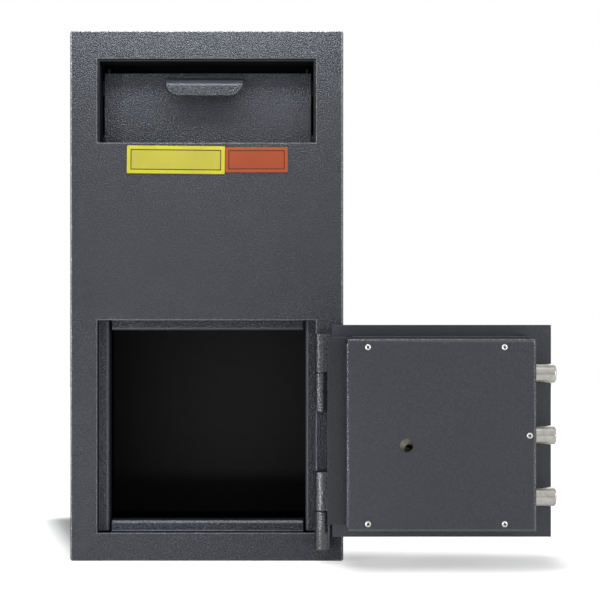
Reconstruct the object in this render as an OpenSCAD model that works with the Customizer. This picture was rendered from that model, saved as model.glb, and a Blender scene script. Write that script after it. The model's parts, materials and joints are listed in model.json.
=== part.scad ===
// Drop safe with a tilting deposit drawer. Millimetres, +Z up, +Y into the safe.
// The origin is the middle of the base. The front face is square to Y.
// Door pieces are written where they are with the door shut, then swung open.

/* [Cabinet] */
// Width of the cabinet
body_w = 355; // [340:5:380]
// Height of the cabinet
body_h = 688; // [680:2:720]
// Depth of the cabinet
body_d = 356; // [320:4:420]
// Thickness of the side, top and bottom walls
wall_t = 3.5; // [2.5:0.5:5]
// Thickness of the front panel
face_t = 4; // [3.5:0.5:6]
// Thickness of the back panel
back_t = 3.5; // [2.5:0.5:5]
// Radius of the cabinet's outside edges
edge_r = 3; // [1:0.5:3.5]
// Distance between the floor anchor holes, across
anchor_pitch_x = 220; // [160:10:260]
// Distance between the floor anchor holes, front to back
anchor_pitch_y = 220; // [160:10:260]
// Diameter of a floor anchor hole
anchor_d = 14; // [10:1:18]

/* [Door opening and jamb] */
// Width of the door opening
opening_w = 284; // [276:2:292]
// Height of the door opening
opening_h = 276; // [268:2:284]
// Height of the opening's lower edge above the floor
opening_z = 36.5; // [34:0.5:44]
// Depth of the jamb in front of its lip
jamb_depth = 15; // [14.5:0.5:16.5]
// Width of the lip around the opening
lip_w = 13.5; // [12:0.5:14]
// Depth of the return behind the lip
return_depth = 20; // [16:1:21]
// Thickness of the jamb sheet
jamb_t = 3; // [2:0.5:3]
// Outside radius of the jamb's bends
jamb_r = 4; // [3.5:0.5:5]
// Slot between the upright and the level lips
lip_gap = 3; // [2:0.5:5]

/* [Door plate] */
// Thickness of the door plate
plate_t = 12.7; // [10:0.1:12.7]
// Gap at the door's free edge
free_gap = 2; // [2:0.5:4]
// Gap at the door's hinge edge
hinge_gap = 4.5; // [3.5:0.5:6]
// Gap under the door
sill_gap = 1.5; // [1:0.5:3]
// Gap over the door
head_gap = 5.5; // [3:0.5:6]

/* [Hinges] */
// Hinge axis beyond the edge of the opening
hinge_out = 8; // [7:0.5:10]
// Hinge axis in front of the face
hinge_ahead = 11; // [10.5:0.5:13]
// Outside diameter of a knuckle
knuckle_d = 20; // [18:1:20]
// Height of one hinge
hinge_len = 100; // [80:5:110]
// Bottom of the lower hinge above the floor
low_hinge_z = 18; // [10:1:40]
// Bottom of the upper hinge above the floor
high_hinge_z = 195.5; // [180:0.5:200]
// Diameter of a hinge pin
hinge_pin_d = 10; // [8:0.5:12]
// Running clearance around a hinge pin
hinge_pin_fit = 0.06; // [0.03:0.01:0.1]
// Closed end of a knuckle
knuckle_cap = 5; // [3:0.5:8]
// Thickness of the washer between the knuckles
washer_t = 1; // [0.8:0.1:2]
// Reach of the welded leaf onto the door
leaf_reach = 26; // [16:2:40]
// Thickness of the welded leaf
leaf_t = 5; // [4:0.5:6]

/* [Bolts] */
// Diameter of a locking bolt
bolt_d = 24; // [20:0.5:24]
// Length of a locking bolt
bolt_len = 87.5; // [80:0.5:90]
// Spacing of the locking bolts
bolt_pitch = 76.3; // [70:0.1:80]
// Middle bolt under the middle of the door
bolt_drop = 1; // [0:0.5:4]
// Bolt axis behind the front face
bolt_depth = 49; // [48.5:0.5:50]
// Travel of the bolts
bolt_throw = 18; // [17:0.5:19]
// Thrown bolt ends short of the door edge
bolt_short = 2.5; // [2:0.5:4]
// Rounding of a bolt's end
bolt_end_r = 2.5; // [1:0.5:4]
// Flat filed on a bolt where it is screwed down
bolt_flat = 1.5; // [1:0.1:2.5]
// Running clearance around a bolt
bolt_fit = 0.08; // [0.03:0.01:0.1]
// Thickness of the bolt carrier
carrier_t = 6; // [4:0.5:6]
// Width of the bolt carrier
carrier_w = 46; // [44:1:47]
// Carrier beyond the axes of the outer bolts
carrier_end = 16; // [13:1:18]
// Thickness of the guide bar that the bolts slide in
guide_t = 13; // [10:0.5:13]
// Gap between the guide bar and each frame rail
guide_gap = 3; // [1:0.5:10]
// Diameter of the carrier's guide studs
stud_d = 10; // [8:0.5:11]
// Distance of a stud from the middle of the door
stud_rise = 38.5; // [36:0.5:42]

/* [Boltwork cover] */
// Width of the cover
cover_w = 234.2; // [232:0.2:236]
// Height of the cover
cover_h = 237; // [235:0.5:238]
// Depth of the cover's face over the door plate
cover_depth = 54; // [53:0.5:56]
// Depth of the cover's flanges
cover_flange = 19.2; // [18:0.1:20]
// Thickness of the cover sheet
cover_t = 2; // [1:0.2:2]
// Outside radius of the cover's bends
cover_r = 5; // [3:0.5:6]
// Cover back from the hinge edge of the plate
cover_inset = 15.1; // [14:0.1:18]
// Frame rails proud of the cover, above and below
ledge = 2.5; // [1:0.5:3.5]
// Thickness of the frame rails
rail_t = 3; // [2:0.5:3]
// Diameter of the key access hole
access_d = 16.3; // [12:0.1:20]
// Key access hole from the cover's hinge edge
access_in = 74.4; // [68:0.2:78]
// Key access hole under the middle of the door
access_drop = 12.3; // [8:0.1:16]
// Diameter of the change key hole in the lock's cover
change_key_d = 10.8; // [6:0.2:11]
// Change key hole beyond the access hole, away from the hinge
change_key_aside = 4.9; // [0:0.1:5]
// Change key hole under the access hole
change_key_drop = 6.4; // [0:0.1:7]
// Diameter of a cover screw's head
screw_head_d = 8; // [7:0.5:9]
// Cover screw rows from the cover's upper and lower edges
screw_edge = 10.1; // [10.1:0.1:12.5]
// Near screw column from the cover's hinge edge
screw_near = 27; // [22:0.5:32]
// Far screw column from the cover's hinge edge
screw_far = 194.6; // [188:0.2:198]
// Diameter of a cover post
post_d = 10; // [8:0.5:10]
// Thickness of the dead bar
dead_bar_t = 6; // [5:0.5:6]
// Dead bar behind the lip at the hinge edge
dead_bar_hook = 16.2; // [15:0.2:17]
// Length of the dead bar
dead_bar_h = 233; // [220:1:234]
// Dead bar above the middle of the door
dead_bar_rise = 3.5; // [2:0.5:5]

/* [Lock] */
// Width of the lock case
lock_w = 60; // [56:1:62]
// Height of the lock case
lock_h = 83; // [80:1:85]
// Depth of the lock case
lock_d = 27; // [26:0.5:28]
// Wall of the lock case
lock_wall = 3; // [2:0.5:3.5]
// Thickness of the lock's cover
lock_cover_t = 2; // [1.5:0.5:3]
// Dial axis from the plate's hinge edge
dial_in = 105.5; // [100:0.5:110]
// Thickness of the hard plate
hard_t = 3; // [2:0.5:3.5]
// Radius of the lock's wheels
wheel_r = 22; // [20:0.5:22]
// Thickness of a wheel
wheel_t = 3; // [2.5:0.1:3]
// Diameter of the dial spindle
dial_spindle_d = 7.6; // [6:0.2:8]
// Running clearance around a spindle
spindle_fit = 0.08; // [0.03:0.01:0.1]

/* [Dial and handle] */
// Diameter of the dial ring
ring_d = 92; // [88:1:96]
// Thickness of the dial ring
ring_t = 5; // [4:0.5:6]
// Diameter of the dial
dial_d = 76; // [70:1:80]
// Diameter of the dial's knob
knob_d = 38; // [32:1:42]
// Height of the dial's knob
knob_h = 22; // [18:1:26]
// Handle axis from the plate's free edge
handle_in = 90; // [88:0.5:91]
// Diameter of the handle spindle
handle_spindle_d = 12; // [10:0.5:14]
// Diameter of the handle's hub
hub_d = 32; // [28:1:36]
// Length of the lever from the spindle
lever_len = 75; // [60:1:90]
// Diameter of the lever at its grip
lever_d = 15; // [12:0.5:18]
// Turn of the handle
handle_turn = 60; // [56:1:64]
// Diameter of the cam pin
cam_pin_d = 8; // [7:0.5:9]
// Slot clearance on each side of the cam pin
cam_slot_gap = 0.6; // [0.5:0.1:1]

/* [Deposit drawer] */
// Width of the drawer opening
mouth_w = 284; // [276:2:290]
// Height of the drawer opening
mouth_h = 109; // [104:1:112]
// Top of the cabinet over the drawer opening
mouth_top = 36; // [32:1:40]
// Depth of the recess around the drawer
recess_depth = 44; // [43:1:48]
// Thickness of the recess sheet
recess_t = 3; // [2:0.5:4]
// Drawer panel behind the front face
panel_depth = 22; // [21:0.5:23]
// Thickness of the drawer panel
panel_t = 3; // [2:0.5:3]
// Gap at each side of the drawer panel
panel_gap = 6; // [5.5:0.5:7]
// Gap over the drawer panel
panel_head = 15; // [14:0.5:18]
// Drawer pivot behind the front face
pivot_depth = 35; // [34:0.5:36]
// Drawer pivot above the opening's lower edge
pivot_rise = 7; // [6:0.5:8]
// Diameter of the drawer pivot pins
pivot_d = 10; // [8:0.5:10]
// Running clearance around a pivot pin
pivot_fit = 0.08; // [0.03:0.01:0.1]
// Outside radius of the shield
shield_r = 94; // [92:0.5:95]
// Thickness of the shield
shield_t = 2; // [1.5:0.5:2.5]
// Thickness of the drawer's cheeks
cheek_t = 3; // [2:0.5:3]
// Height of the drawer pull
pull_h = 29; // [26:1:34]
// Reach of the drawer pull in front of the panel
pull_reach = 17; // [15:0.5:18]
// How far the drawer tilts open
drawer_tilt = 55; // [50:1:56]
// Angle of the chute's lower edge, from upright
sill_angle = 118; // [115:1:122]
// Thickness of the chute sheets
chute_t = 2; // [1.5:0.5:3]
// Width of the drawer pull
pull_w = 100; // [90:1:110]
// Drawer pull left of the middle
pull_left = 3.5; // [0:0.5:5]
// Sheet of the drawer pull
pull_t = 2; // [1.5:0.5:3]

/* [Label plates] */
// Width of the yellow plate
yellow_w = 127; // [110:1:140]
// Height of the yellow plate
yellow_h = 36; // [30:1:40]
// Width of the orange plate
orange_w = 81; // [70:1:90]
// Height of the orange plate
orange_h = 32.6; // [28:0.2:36]
// Thickness of the label plates
label_t = 0.5; // [0.3:0.1:1]
// Yellow plate from the cabinet's left side
label_in = 74.1; // [60:0.1:80]
// Gap between the two plates
label_gap = 0.7; // [0.4:0.1:4]
// Middle of the plates under the drawer opening
label_drop = 22.2; // [20:0.2:40]

/* [Hidden] */
$fn = 64;

// Clear space between pieces that pass each other
run_gap = 0.5;
// How far the door stands open in the model
door_angle = 180;

// Cabinet
front_y = -body_d / 2;
back_y = body_d / 2;
side_x = body_w / 2;
inner_x = side_x - wall_t;
face_in_y = front_y + face_t;

// Door opening and jamb
open_x = opening_w / 2;
open_top = opening_z + opening_h;
lip_x = open_x - lip_w;
lip_y = front_y + jamb_depth;

// Door plate
plate_x0 = -open_x + free_gap;
plate_x1 = open_x - hinge_gap;
plate_z0 = opening_z + sill_gap;
plate_z1 = open_top - head_gap;
mid_z = (plate_z0 + plate_z1) / 2;
plate_y = front_y + plate_t;

// Hinges
hinge_x = open_x + hinge_out;
hinge_y = front_y - hinge_ahead;
hinge_bore_r = hinge_pin_d / 2 + hinge_pin_fit;
washer_gap = 0.3;
knuckle_split = washer_t + 2 * washer_gap;
pin_end_gap = 0.5;
lug_w = 0.75 * knuckle_d;
leaf_clear = 0.6;

// Cover and frame
cover_x1 = plate_x1 - cover_inset;
cover_x0 = cover_x1 - cover_w;
cover_z0 = mid_z - cover_h / 2;
cover_z1 = mid_z + cover_h / 2;
cover_y = plate_y + cover_depth;
cover_in_y = cover_y - cover_t;
frame_y = cover_y - cover_flange;
rail_z0 = cover_z0 - ledge;
rail_z1 = cover_z1 + ledge;
rail_flange = 2 * rail_t;
rail_in = 4;
rail_gap = 0.3;
cover_seam = 0.4;
cover_hole_gap = 0.2;
access_x = cover_x1 - access_in;
access_z = mid_z - access_drop;
near_x = cover_x1 - screw_near;
far_x = cover_x1 - screw_far;
screw_rise = cover_h / 2 - screw_edge;
screw_shank_r = 2;
screw_head_t = 2.6;
screw_head_slope = 1.2;
screw_bite = 2.8;
screw_hole_gap = 0.1;
screw_end_gap = 0.2;
recess_len = 4.6;
recess_w = 1.1;
recess_d = 1.2;
dead_bar_z0 = mid_z - dead_bar_h / 2 + dead_bar_rise;
dead_bar_tip = lip_x + dead_bar_hook;
dead_web_x = cover_x1 - cover_t - dead_bar_t;

// Bolts and carrier
bolt_r = bolt_d / 2;
bolt_y = front_y + bolt_depth;
bolt_mid_z = mid_z - bolt_drop;
bolt_tip_x = plate_x0 + bolt_short;
bolt_flat_y = bolt_y - bolt_r + bolt_flat;
guide_x0 = cover_x0 + cover_t + cover_seam;
guide_x1 = guide_x0 + guide_t;
guide_mid_x = guide_x0 + guide_t / 2;
guide_z0 = rail_z0 + rail_flange + guide_gap;
guide_z1 = rail_z1 - rail_flange - guide_gap;
guide_chamfer = cover_r - cover_t;
carrier_gap = 2.4;
carrier_x0 = guide_x1 + carrier_gap;
carrier_x1 = carrier_x0 + carrier_w;
carrier_y0 = bolt_flat_y - carrier_t;
carrier_z0 = bolt_mid_z - bolt_pitch - carrier_end;
carrier_z1 = bolt_mid_z + bolt_pitch + carrier_end;
bolt_screw_in = 7;
bolt_screw_x = carrier_x0 + bolt_screw_in;
bolt_screw_r = 2.5;
bolt_screw_head_r = 4;
bolt_screw_head_t = 2.5;
bolt_screw_bite = 8;
bolt_notch_gap = 1;
stud_r = stud_d / 2;
stud_head_r = stud_r + 3;
stud_head_t = 3;
stud_in = stud_r + 9;
stud_x = carrier_x1 - stud_in;

// Lock
dial_x = plate_x1 - dial_in;
dial_z = mid_z;
hard_y = plate_y + hard_t;
lock_x0 = dial_x - lock_w / 2;
lock_x1 = dial_x + lock_w / 2;
lock_z0 = dial_z - lock_h / 2;
lock_z1 = dial_z + lock_h / 2;
lock_y = hard_y + lock_d;
lock_top_y = lock_y + lock_cover_t;
hard_side = 8;
hard_end = 4;
dial_spindle_r = dial_spindle_d / 2;
spindle_room = 1.5;
cam_y0 = hard_y + lock_wall + run_gap;
drive_cam_t = 3.5;
drive_cam_r = wheel_r - 2;
cam_y1 = cam_y0 + drive_cam_t;
wheel_gap = 0.6;
wheel_post_r = 5;
wheel_post_gap = 0.3;
wheel_post_end = cam_y1 + 0.4;
gate_w = 6;
gate_d = 5;
first_gate = 40;
gate_step = 75;
cam_gate_w = 8;
lock_bolt_w = 20;
lock_bolt_t = 8;
lock_bolt_back = 6;
lock_bolt_y1 = lock_y - lock_bolt_back;
lock_bolt_y0 = lock_bolt_y1 - lock_bolt_t;
lock_bolt_gap = 0.3;
lock_bolt_room = 1.5;
lock_screw_in = 5;
lock_screw_r = 1.8;
lock_screw_len = 12;
lock_screw_head_r = 3.3;
lock_screw_head_t = 1.8;
lock_pillar_r = 4.5;
change_key_x = access_x - change_key_aside;
change_key_z = access_z - change_key_drop;
arm_gap = 2;
arm_h = 14;
arm_x = dial_x - lock_bolt_w / 2 - lock_bolt_room;
relocker_w = 28;
relocker_h = 20;
relocker_d = 20;
relocker_z = lock_z0 - 22;
plunger_r = 5;
plunger_gap = 0.2;
plunger_out = 6;
plunger_x1 = dial_x + 8;

// Dial and handle
ring_y = front_y - ring_t;
ring_bevel = ring_t / 2;
dial_t = 8;
dial_rim_t = 3;
dial_bevel = 6;
dial_y = ring_y - run_gap;
handle_x = plate_x0 + handle_in;
handle_z = mid_z;
handle_r = handle_spindle_d / 2;
bushing_t = 4;
bushing_r = hub_d / 2 + 4;
hub_y = front_y - bushing_t - run_gap;
hub_h = 26;
hub_cap = 8;
hub_end_y = hub_y - hub_h;
lever_y = hub_end_y + lever_d / 2;
cam_arm_t = 6;
cam_arm_gap = 1.5;
cam_arm_y1 = carrier_y0 - cam_arm_gap;
cam_arm_y0 = cam_arm_y1 - cam_arm_t;
cam_arm_wall = 2;
cam_eye_wall = 4;
cam_r = bolt_throw / (2 * sin(handle_turn / 2));
cam_pin_r = cam_pin_d / 2;
cam_pin_x = handle_x - bolt_throw / 2;
cam_pin_z = handle_z - cam_r * cos(handle_turn / 2);
cam_hub_r = handle_r + 6;
cam_slot_r = cam_pin_r + cam_slot_gap;
cam_slot_z0 = handle_z - cam_r - cam_slot_gap / 2;
cam_slot_z1 = cam_pin_z + cam_slot_gap / 2;

// Deposit drawer
mouth_x = mouth_w / 2;
mouth_z1 = body_h - mouth_top;
mouth_z0 = mouth_z1 - mouth_h;
recess_y = front_y + recess_depth;
recess_x = mouth_x - recess_t;
recess_top = mouth_z1 - recess_t;
recess_set = 1.5;
pivot_y = front_y + pivot_depth;
pivot_z = mouth_z0 + pivot_rise;
pivot_r = pivot_d / 2;
panel_x = mouth_x - panel_gap;
panel_y0 = front_y + panel_depth;
panel_y1 = panel_y0 + panel_t;
panel_z1 = mouth_z1 - panel_head;
panel_foot = 10;
panel_lap = 4;
cheek_x1 = panel_x - panel_lap;
cheek_x0 = cheek_x1 - cheek_t;
cheek_foot = panel_foot - 2;
boss_r = pivot_r + 3;
boss_gap = 0.6;
eye_r = boss_r + 1;
pivot_out = 2;
shield_end = sill_angle + drawer_tilt;
chute_x = cheek_x0 - 1.5;
chute_r = shield_r - shield_t - 2;
hood_angle = sill_angle - drawer_tilt - 1.5;
hood_lap = 16;
hood_edge = chute_t * [0.6, 0.8];
sill_drop = 18;
sill_flange = 16;
recess_foot = 12;
stop_rise = 58;
stop_z0 = pivot_z + stop_rise;
stop_h = 20;
stop_t = 7;
stop_gap = 1;

// Drawer pull
pull_x = -pull_left;
pull_x0 = pull_x - pull_w / 2;
pull_drop = 3;
pull_top = panel_z1 - pull_drop;
pull_end_z = pull_top - pull_h;
pull_slope_h = 14;
pull_slope_z = pull_top - pull_slope_h;
pull_flange = 4;
pull_corner = 14;

// Anti-fishing baffle
baffle_drop = 113;
baffle_z = body_h - baffle_drop;
baffle_flange = 25;
baffle_reach = 118;
baffle_tip_y = back_y - baffle_reach;
baffle_fall = 75;
baffle_tip_z = baffle_z - baffle_fall;
baffle_t = 2;
tooth_pitch = 29;
tooth_depth = 22;
tooth_flat = 1;

// Label plates
yellow_x = -side_x + label_in + yellow_w / 2;
orange_x = yellow_x + yellow_w / 2 + label_gap + orange_w / 2;
label_z = mouth_z0 - label_drop;
yellow_tilt = 0.6;

coat = "#4d5059";
coat_inside = "#35373c";
zinc = "#b9bcc0";
steel = "#8d9095";
chrome = "#d4d7da";
brass = "#b5974f";
black_plastic = "#1d1e20";
rubber = "#26262a";
yellow = "#e6dc4a";
orange = "#b2522c";

// A block between two corners
module block(low, high) {
    translate(low) cube(high - low);
}

// A round bar along X, Y or Z from one end to the other
module bar_x(x0, x1, y, z, r) {
    translate([x0, y, z]) rotate([0, 90, 0]) cylinder(h = x1 - x0, r = r);
}
module bar_y(x, z, y0, y1, r) {
    translate([x, y0, z]) rotate([-90, 0, 0]) cylinder(h = y1 - y0, r = r);
}
module bar_z(x, y, z0, z1, r) {
    translate([x, y, z0]) cylinder(h = z1 - z0, r = r);
}

// A quarter ring, the section of a bend, with its centre at the origin
module bend(r, t) {
    difference() {
        intersection() {
            circle(r);
            square(r);
        }
        circle(r - t);
    }
}

// A rectangle with round corners, seen along Y, from y0 to y1
module round_slab(x0, x1, z0, z1, y0, y1, r) {
    translate([0, y1, 0]) rotate([90, 0, 0]) linear_extrude(y1 - y0) union() {
        translate([x0 + r, z0]) square([x1 - x0 - 2 * r, z1 - z0]);
        translate([x0, z0 + r]) square([x1 - x0, z1 - z0 - 2 * r]);
        for (x = [x0 + r, x1 - r], z = [z0 + r, z1 - r]) translate([x, z]) circle(r);
    }
}

// An outline in Y and Z, drawn out along X
module drawn_x(x0, x1) {
    translate([x0, 0, 0]) rotate([90, 0, 90]) linear_extrude(x1 - x0) children();
}

// Swings a piece of the shut door to where the door stands
module on_door() {
    translate([hinge_x, hinge_y, 0]) rotate([0, 0, door_angle])
        translate([-hinge_x, -hinge_y, 0]) children();
}

// Cabinet

module cabinet_wrapper() {
    color(coat) difference() {
        round_slab(-side_x, side_x, 0, body_h, face_in_y, back_y, edge_r);
        block([-inner_x, face_in_y - 1, wall_t], [inner_x, back_y + 1, body_h - wall_t]);
        for (x = [-1, 1] * anchor_pitch_x / 2, y = [-1, 1] * anchor_pitch_y / 2)
            bar_z(x, y, -1, wall_t + 1, anchor_d / 2);
    }
}

module front_panel() {
    color(coat) difference() {
        intersection() {
            round_slab(-side_x, side_x, 0, body_h, front_y, face_in_y, edge_r);
            linear_extrude(body_h) union() {
                translate([-side_x + edge_r, front_y]) square([body_w - 2 * edge_r, face_t]);
                translate([-side_x, front_y + edge_r]) square([body_w, face_t - edge_r]);
                for (x = [-1, 1] * (side_x - edge_r)) translate([x, front_y + edge_r]) circle(edge_r);
            }
        }
        block([-open_x, front_y - 1, opening_z], [open_x, face_in_y + 1, open_top]);
        block([-mouth_x, front_y - 1, mouth_z0], [mouth_x, face_in_y + 1, mouth_z1]);
    }
}

module back_panel() {
    color(coat) block([-inner_x, back_y - back_t, wall_t], [inner_x, back_y, body_h - wall_t]);
}

// The jamb's section: wall, bend, lip, bend, return; u is away from the opening
module jamb_section() {
    u1 = lip_w + jamb_t;
    translate([lip_w, face_in_y]) square([jamb_t, lip_y - face_in_y + jamb_t]);
    translate([jamb_r, lip_y]) square([u1 - jamb_r, jamb_t]);
    translate([jamb_r, lip_y + jamb_r]) rotate(180) bend(jamb_r, jamb_t);
    translate([0, lip_y + jamb_r]) square([jamb_t, return_depth - jamb_r]);
}

module jamb_hinge_side() {
    color(coat) translate([lip_x, 0, opening_z]) linear_extrude(opening_h) jamb_section();
}

module jamb_strike_side() {
    mirror([1, 0, 0]) jamb_hinge_side();
}

// A level strip of the jamb, lying between the upright lips
module jamb_strip() {
    half = lip_x - lip_gap;
    drawn_x(-half, half) mirror([1, -1]) jamb_section();
}

module jamb_top() {
    color(coat) translate([0, 0, open_top - lip_w]) jamb_strip();
}

module jamb_bottom() {
    color(coat) translate([0, 0, opening_z + lip_w]) mirror([0, 0, 1]) jamb_strip();
}

// Deposit recess and chute

module hopper_frame() {
    color(coat_inside) difference() {
        union() {
            for (x = [-mouth_x, recess_x]) {
                block([x, front_y + recess_set, mouth_z0], [x + recess_t, recess_y, mouth_z1]);
                block([x, face_in_y, mouth_z0 - recess_foot], [x + recess_t, recess_y, mouth_z0]);
            }
            block([-recess_x, front_y + recess_set, recess_top], [recess_x, recess_y, mouth_z1]);
        }
        bar_x(-body_w, body_w, pivot_y, pivot_z, pivot_r + pivot_fit);
    }
}

module chute_hood() {
    tip = [chute_r * sin(hood_angle), chute_r * cos(hood_angle)];
    top = [recess_y - pivot_y, mouth_z1 - pivot_z];
    color(coat_inside) translate([0, pivot_y, pivot_z]) drawn_x(-chute_x, chute_x)
        polygon([
            top + [-hood_lap, 0], top, top + [0, -recess_t],
            tip, tip + hood_edge,
            top + [chute_t, chute_t], top + [-hood_lap, chute_t]
        ]);
}

module chute_sill() {
    tip = [chute_r * sin(sill_angle), chute_r * cos(sill_angle)];
    front = face_in_y - pivot_y;
    color(coat_inside) translate([0, pivot_y, pivot_z]) drawn_x(-chute_x, chute_x)
        polygon([
            [front, -sill_drop], [0, -sill_drop], tip, tip - [0, chute_t],
            [0, -sill_drop - chute_t], [front + chute_t, -sill_drop - chute_t],
            [front + chute_t, -sill_drop - sill_flange], [front, -sill_drop - sill_flange]
        ]);
}

module anti_fish_baffle() {
    wall_y = back_y - back_t;
    teeth = floor(inner_x / tooth_pitch) - 1;
    tip = [0, tooth_depth];
    side = [tooth_pitch / 2 - tooth_flat, -1];
    color(coat_inside) difference() {
        drawn_x(-inner_x, inner_x) polygon([
            [wall_y, baffle_z + baffle_flange], [wall_y - baffle_t, baffle_z + baffle_flange],
            [wall_y - baffle_t, baffle_z + baffle_t], [baffle_tip_y, baffle_tip_z + baffle_t],
            [baffle_tip_y, baffle_tip_z], [wall_y, baffle_z]
        ]);
        for (i = [-teeth:teeth])
            translate([i * tooth_pitch, baffle_tip_y, baffle_tip_z - tooth_depth])
                linear_extrude(3 * tooth_depth) polygon([[-side[0], side[1]], side, tip]);
    }
}

module drawer_stops() {
    color(rubber) for (s = [-1, 1]) {
        x0 = cheek_x1 + stop_gap;
        block([min(s * x0, s * recess_x), panel_y1 + run_gap, stop_z0],
            [max(s * x0, s * recess_x), panel_y1 + run_gap + stop_t, stop_z0 + stop_h]);
    }
}

// Label plates

module plate_on_face(x, z, w, h, tilt) {
    translate([x, front_y, z]) rotate([0, tilt, 0]) translate([-w / 2, -label_t, -h / 2])
        cube([w, label_t, h]);
}

module label_yellow() {
    color(yellow) plate_on_face(yellow_x, label_z, yellow_w, yellow_h, yellow_tilt);
}

module label_orange() {
    color(orange) plate_on_face(orange_x, label_z, orange_w, orange_h, 0);
}

// Hinges: each has a lower knuckle welded to the face and an upper one on the door

module fixed_knuckle(z0) {
    z1 = z0 + hinge_len / 2 - knuckle_split / 2;
    color(coat) difference() {
        union() {
            bar_z(hinge_x, hinge_y, z0, z1, knuckle_d / 2);
            block([hinge_x - lug_w / 2, hinge_y, z0], [hinge_x + lug_w / 2, front_y, z1]);
        }
        bar_z(hinge_x, hinge_y, z0 + knuckle_cap, z1 + 1, hinge_bore_r);
    }
}

module door_knuckle(z0) {
    low = z0 + hinge_len / 2 + knuckle_split / 2;
    high = z0 + hinge_len;
    color(coat) on_door() difference() {
        union() {
            bar_z(hinge_x, hinge_y, low, high, knuckle_d / 2);
            translate([0, 0, low]) linear_extrude(high - low) polygon([
                [hinge_x, front_y - leaf_clear], [hinge_x, front_y - leaf_clear - leaf_t],
                [plate_x1 - leaf_reach, front_y - leaf_clear - leaf_t], [plate_x1 - leaf_reach, front_y],
                [plate_x1, front_y], [plate_x1, front_y - leaf_clear]
            ]);
        }
        bar_z(hinge_x, hinge_y, low - 1, high - knuckle_cap, hinge_bore_r);
    }
}

module hinge_pin(z0) {
    color(steel) bar_z(hinge_x, hinge_y, z0 + knuckle_cap + pin_end_gap,
        z0 + hinge_len - knuckle_cap - pin_end_gap, hinge_pin_d / 2);
}

module fixed_knuckle_upper() {
    fixed_knuckle(high_hinge_z);
}
module fixed_knuckle_lower() {
    fixed_knuckle(low_hinge_z);
}
module door_knuckle_upper() {
    door_knuckle(high_hinge_z);
}
module door_knuckle_lower() {
    door_knuckle(low_hinge_z);
}
module hinge_pin_upper() {
    hinge_pin(high_hinge_z);
}
module hinge_pin_lower() {
    hinge_pin(low_hinge_z);
}

module hinge_washers() {
    color(steel) for (z0 = [low_hinge_z, high_hinge_z]) difference() {
        bar_z(hinge_x, hinge_y, z0 + hinge_len / 2 - washer_t / 2, z0 + hinge_len / 2 + washer_t / 2,
            knuckle_d / 2 - 1);
        bar_z(hinge_x, hinge_y, z0, z0 + hinge_len, hinge_pin_d / 2 + 0.2);
    }
}

// Door plate and what is welded or screwed to it

module door_plate() {
    color(coat) on_door() difference() {
        block([plate_x0, front_y, plate_z0], [plate_x1, plate_y, plate_z1]);
        bar_y(dial_x, dial_z, front_y - 1, plate_y + 1, dial_spindle_r + spindle_room);
        bar_y(handle_x, handle_z, front_y - 1, plate_y + 1, handle_r + spindle_fit);
    }
}

// A bar that hooks behind the jamb along the hinge edge
module dead_bar() {
    color(coat) on_door() translate([0, 0, dead_bar_z0]) linear_extrude(dead_bar_h) polygon([
        [dead_web_x, plate_y], [dead_web_x, frame_y], [dead_bar_tip, frame_y],
        [dead_bar_tip, frame_y - dead_bar_t], [dead_web_x + dead_bar_t, frame_y - dead_bar_t],
        [dead_web_x + dead_bar_t, plate_y]
    ]);
}

// The rails that the cover's long flanges sit on
module boltwork_frame() {
    x0 = cover_x0 + rail_in;
    x1 = dead_web_x - rail_gap;
    color(coat) on_door() {
        block([x0, plate_y, rail_z1 - rail_t], [x1, frame_y, rail_z1]);
        block([x0, frame_y - rail_t, rail_z1 - rail_flange], [x1, frame_y, rail_z1]);
        block([x0, plate_y, rail_z0], [x1, frame_y, rail_z0 + rail_t]);
        block([x0, frame_y - rail_t, rail_z0], [x1, frame_y, rail_z0 + rail_flange]);
    }
}

module bolt_guide_bar() {
    color(steel) on_door() difference() {
        translate([0, 0, guide_z0]) linear_extrude(guide_z1 - guide_z0) polygon([
            [guide_x0, plate_y], [guide_x1, plate_y], [guide_x1, cover_in_y],
            [guide_x0 + guide_chamfer, cover_in_y], [guide_x0, cover_in_y - guide_chamfer]
        ]);
        for (i = [-1:1])
            bar_x(guide_x0 - 1, guide_x1 + 1, bolt_y, bolt_mid_z + i * bolt_pitch, bolt_r + bolt_fit);
        cover_screw_hole([guide_mid_x, mid_z]);
    }
}

// Where the cover's screws go: four posts and the guide bar
cover_screw_spots = [
    [near_x, mid_z + screw_rise], [far_x, mid_z + screw_rise],
    [near_x, mid_z - screw_rise], [far_x, mid_z - screw_rise],
    [guide_mid_x, mid_z]
];

// The tapped hole under a cover screw
module cover_screw_hole(p) {
    bar_y(p[0], p[1], cover_in_y - screw_bite - screw_end_gap, cover_in_y + 1,
        screw_shank_r + screw_hole_gap);
}

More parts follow.
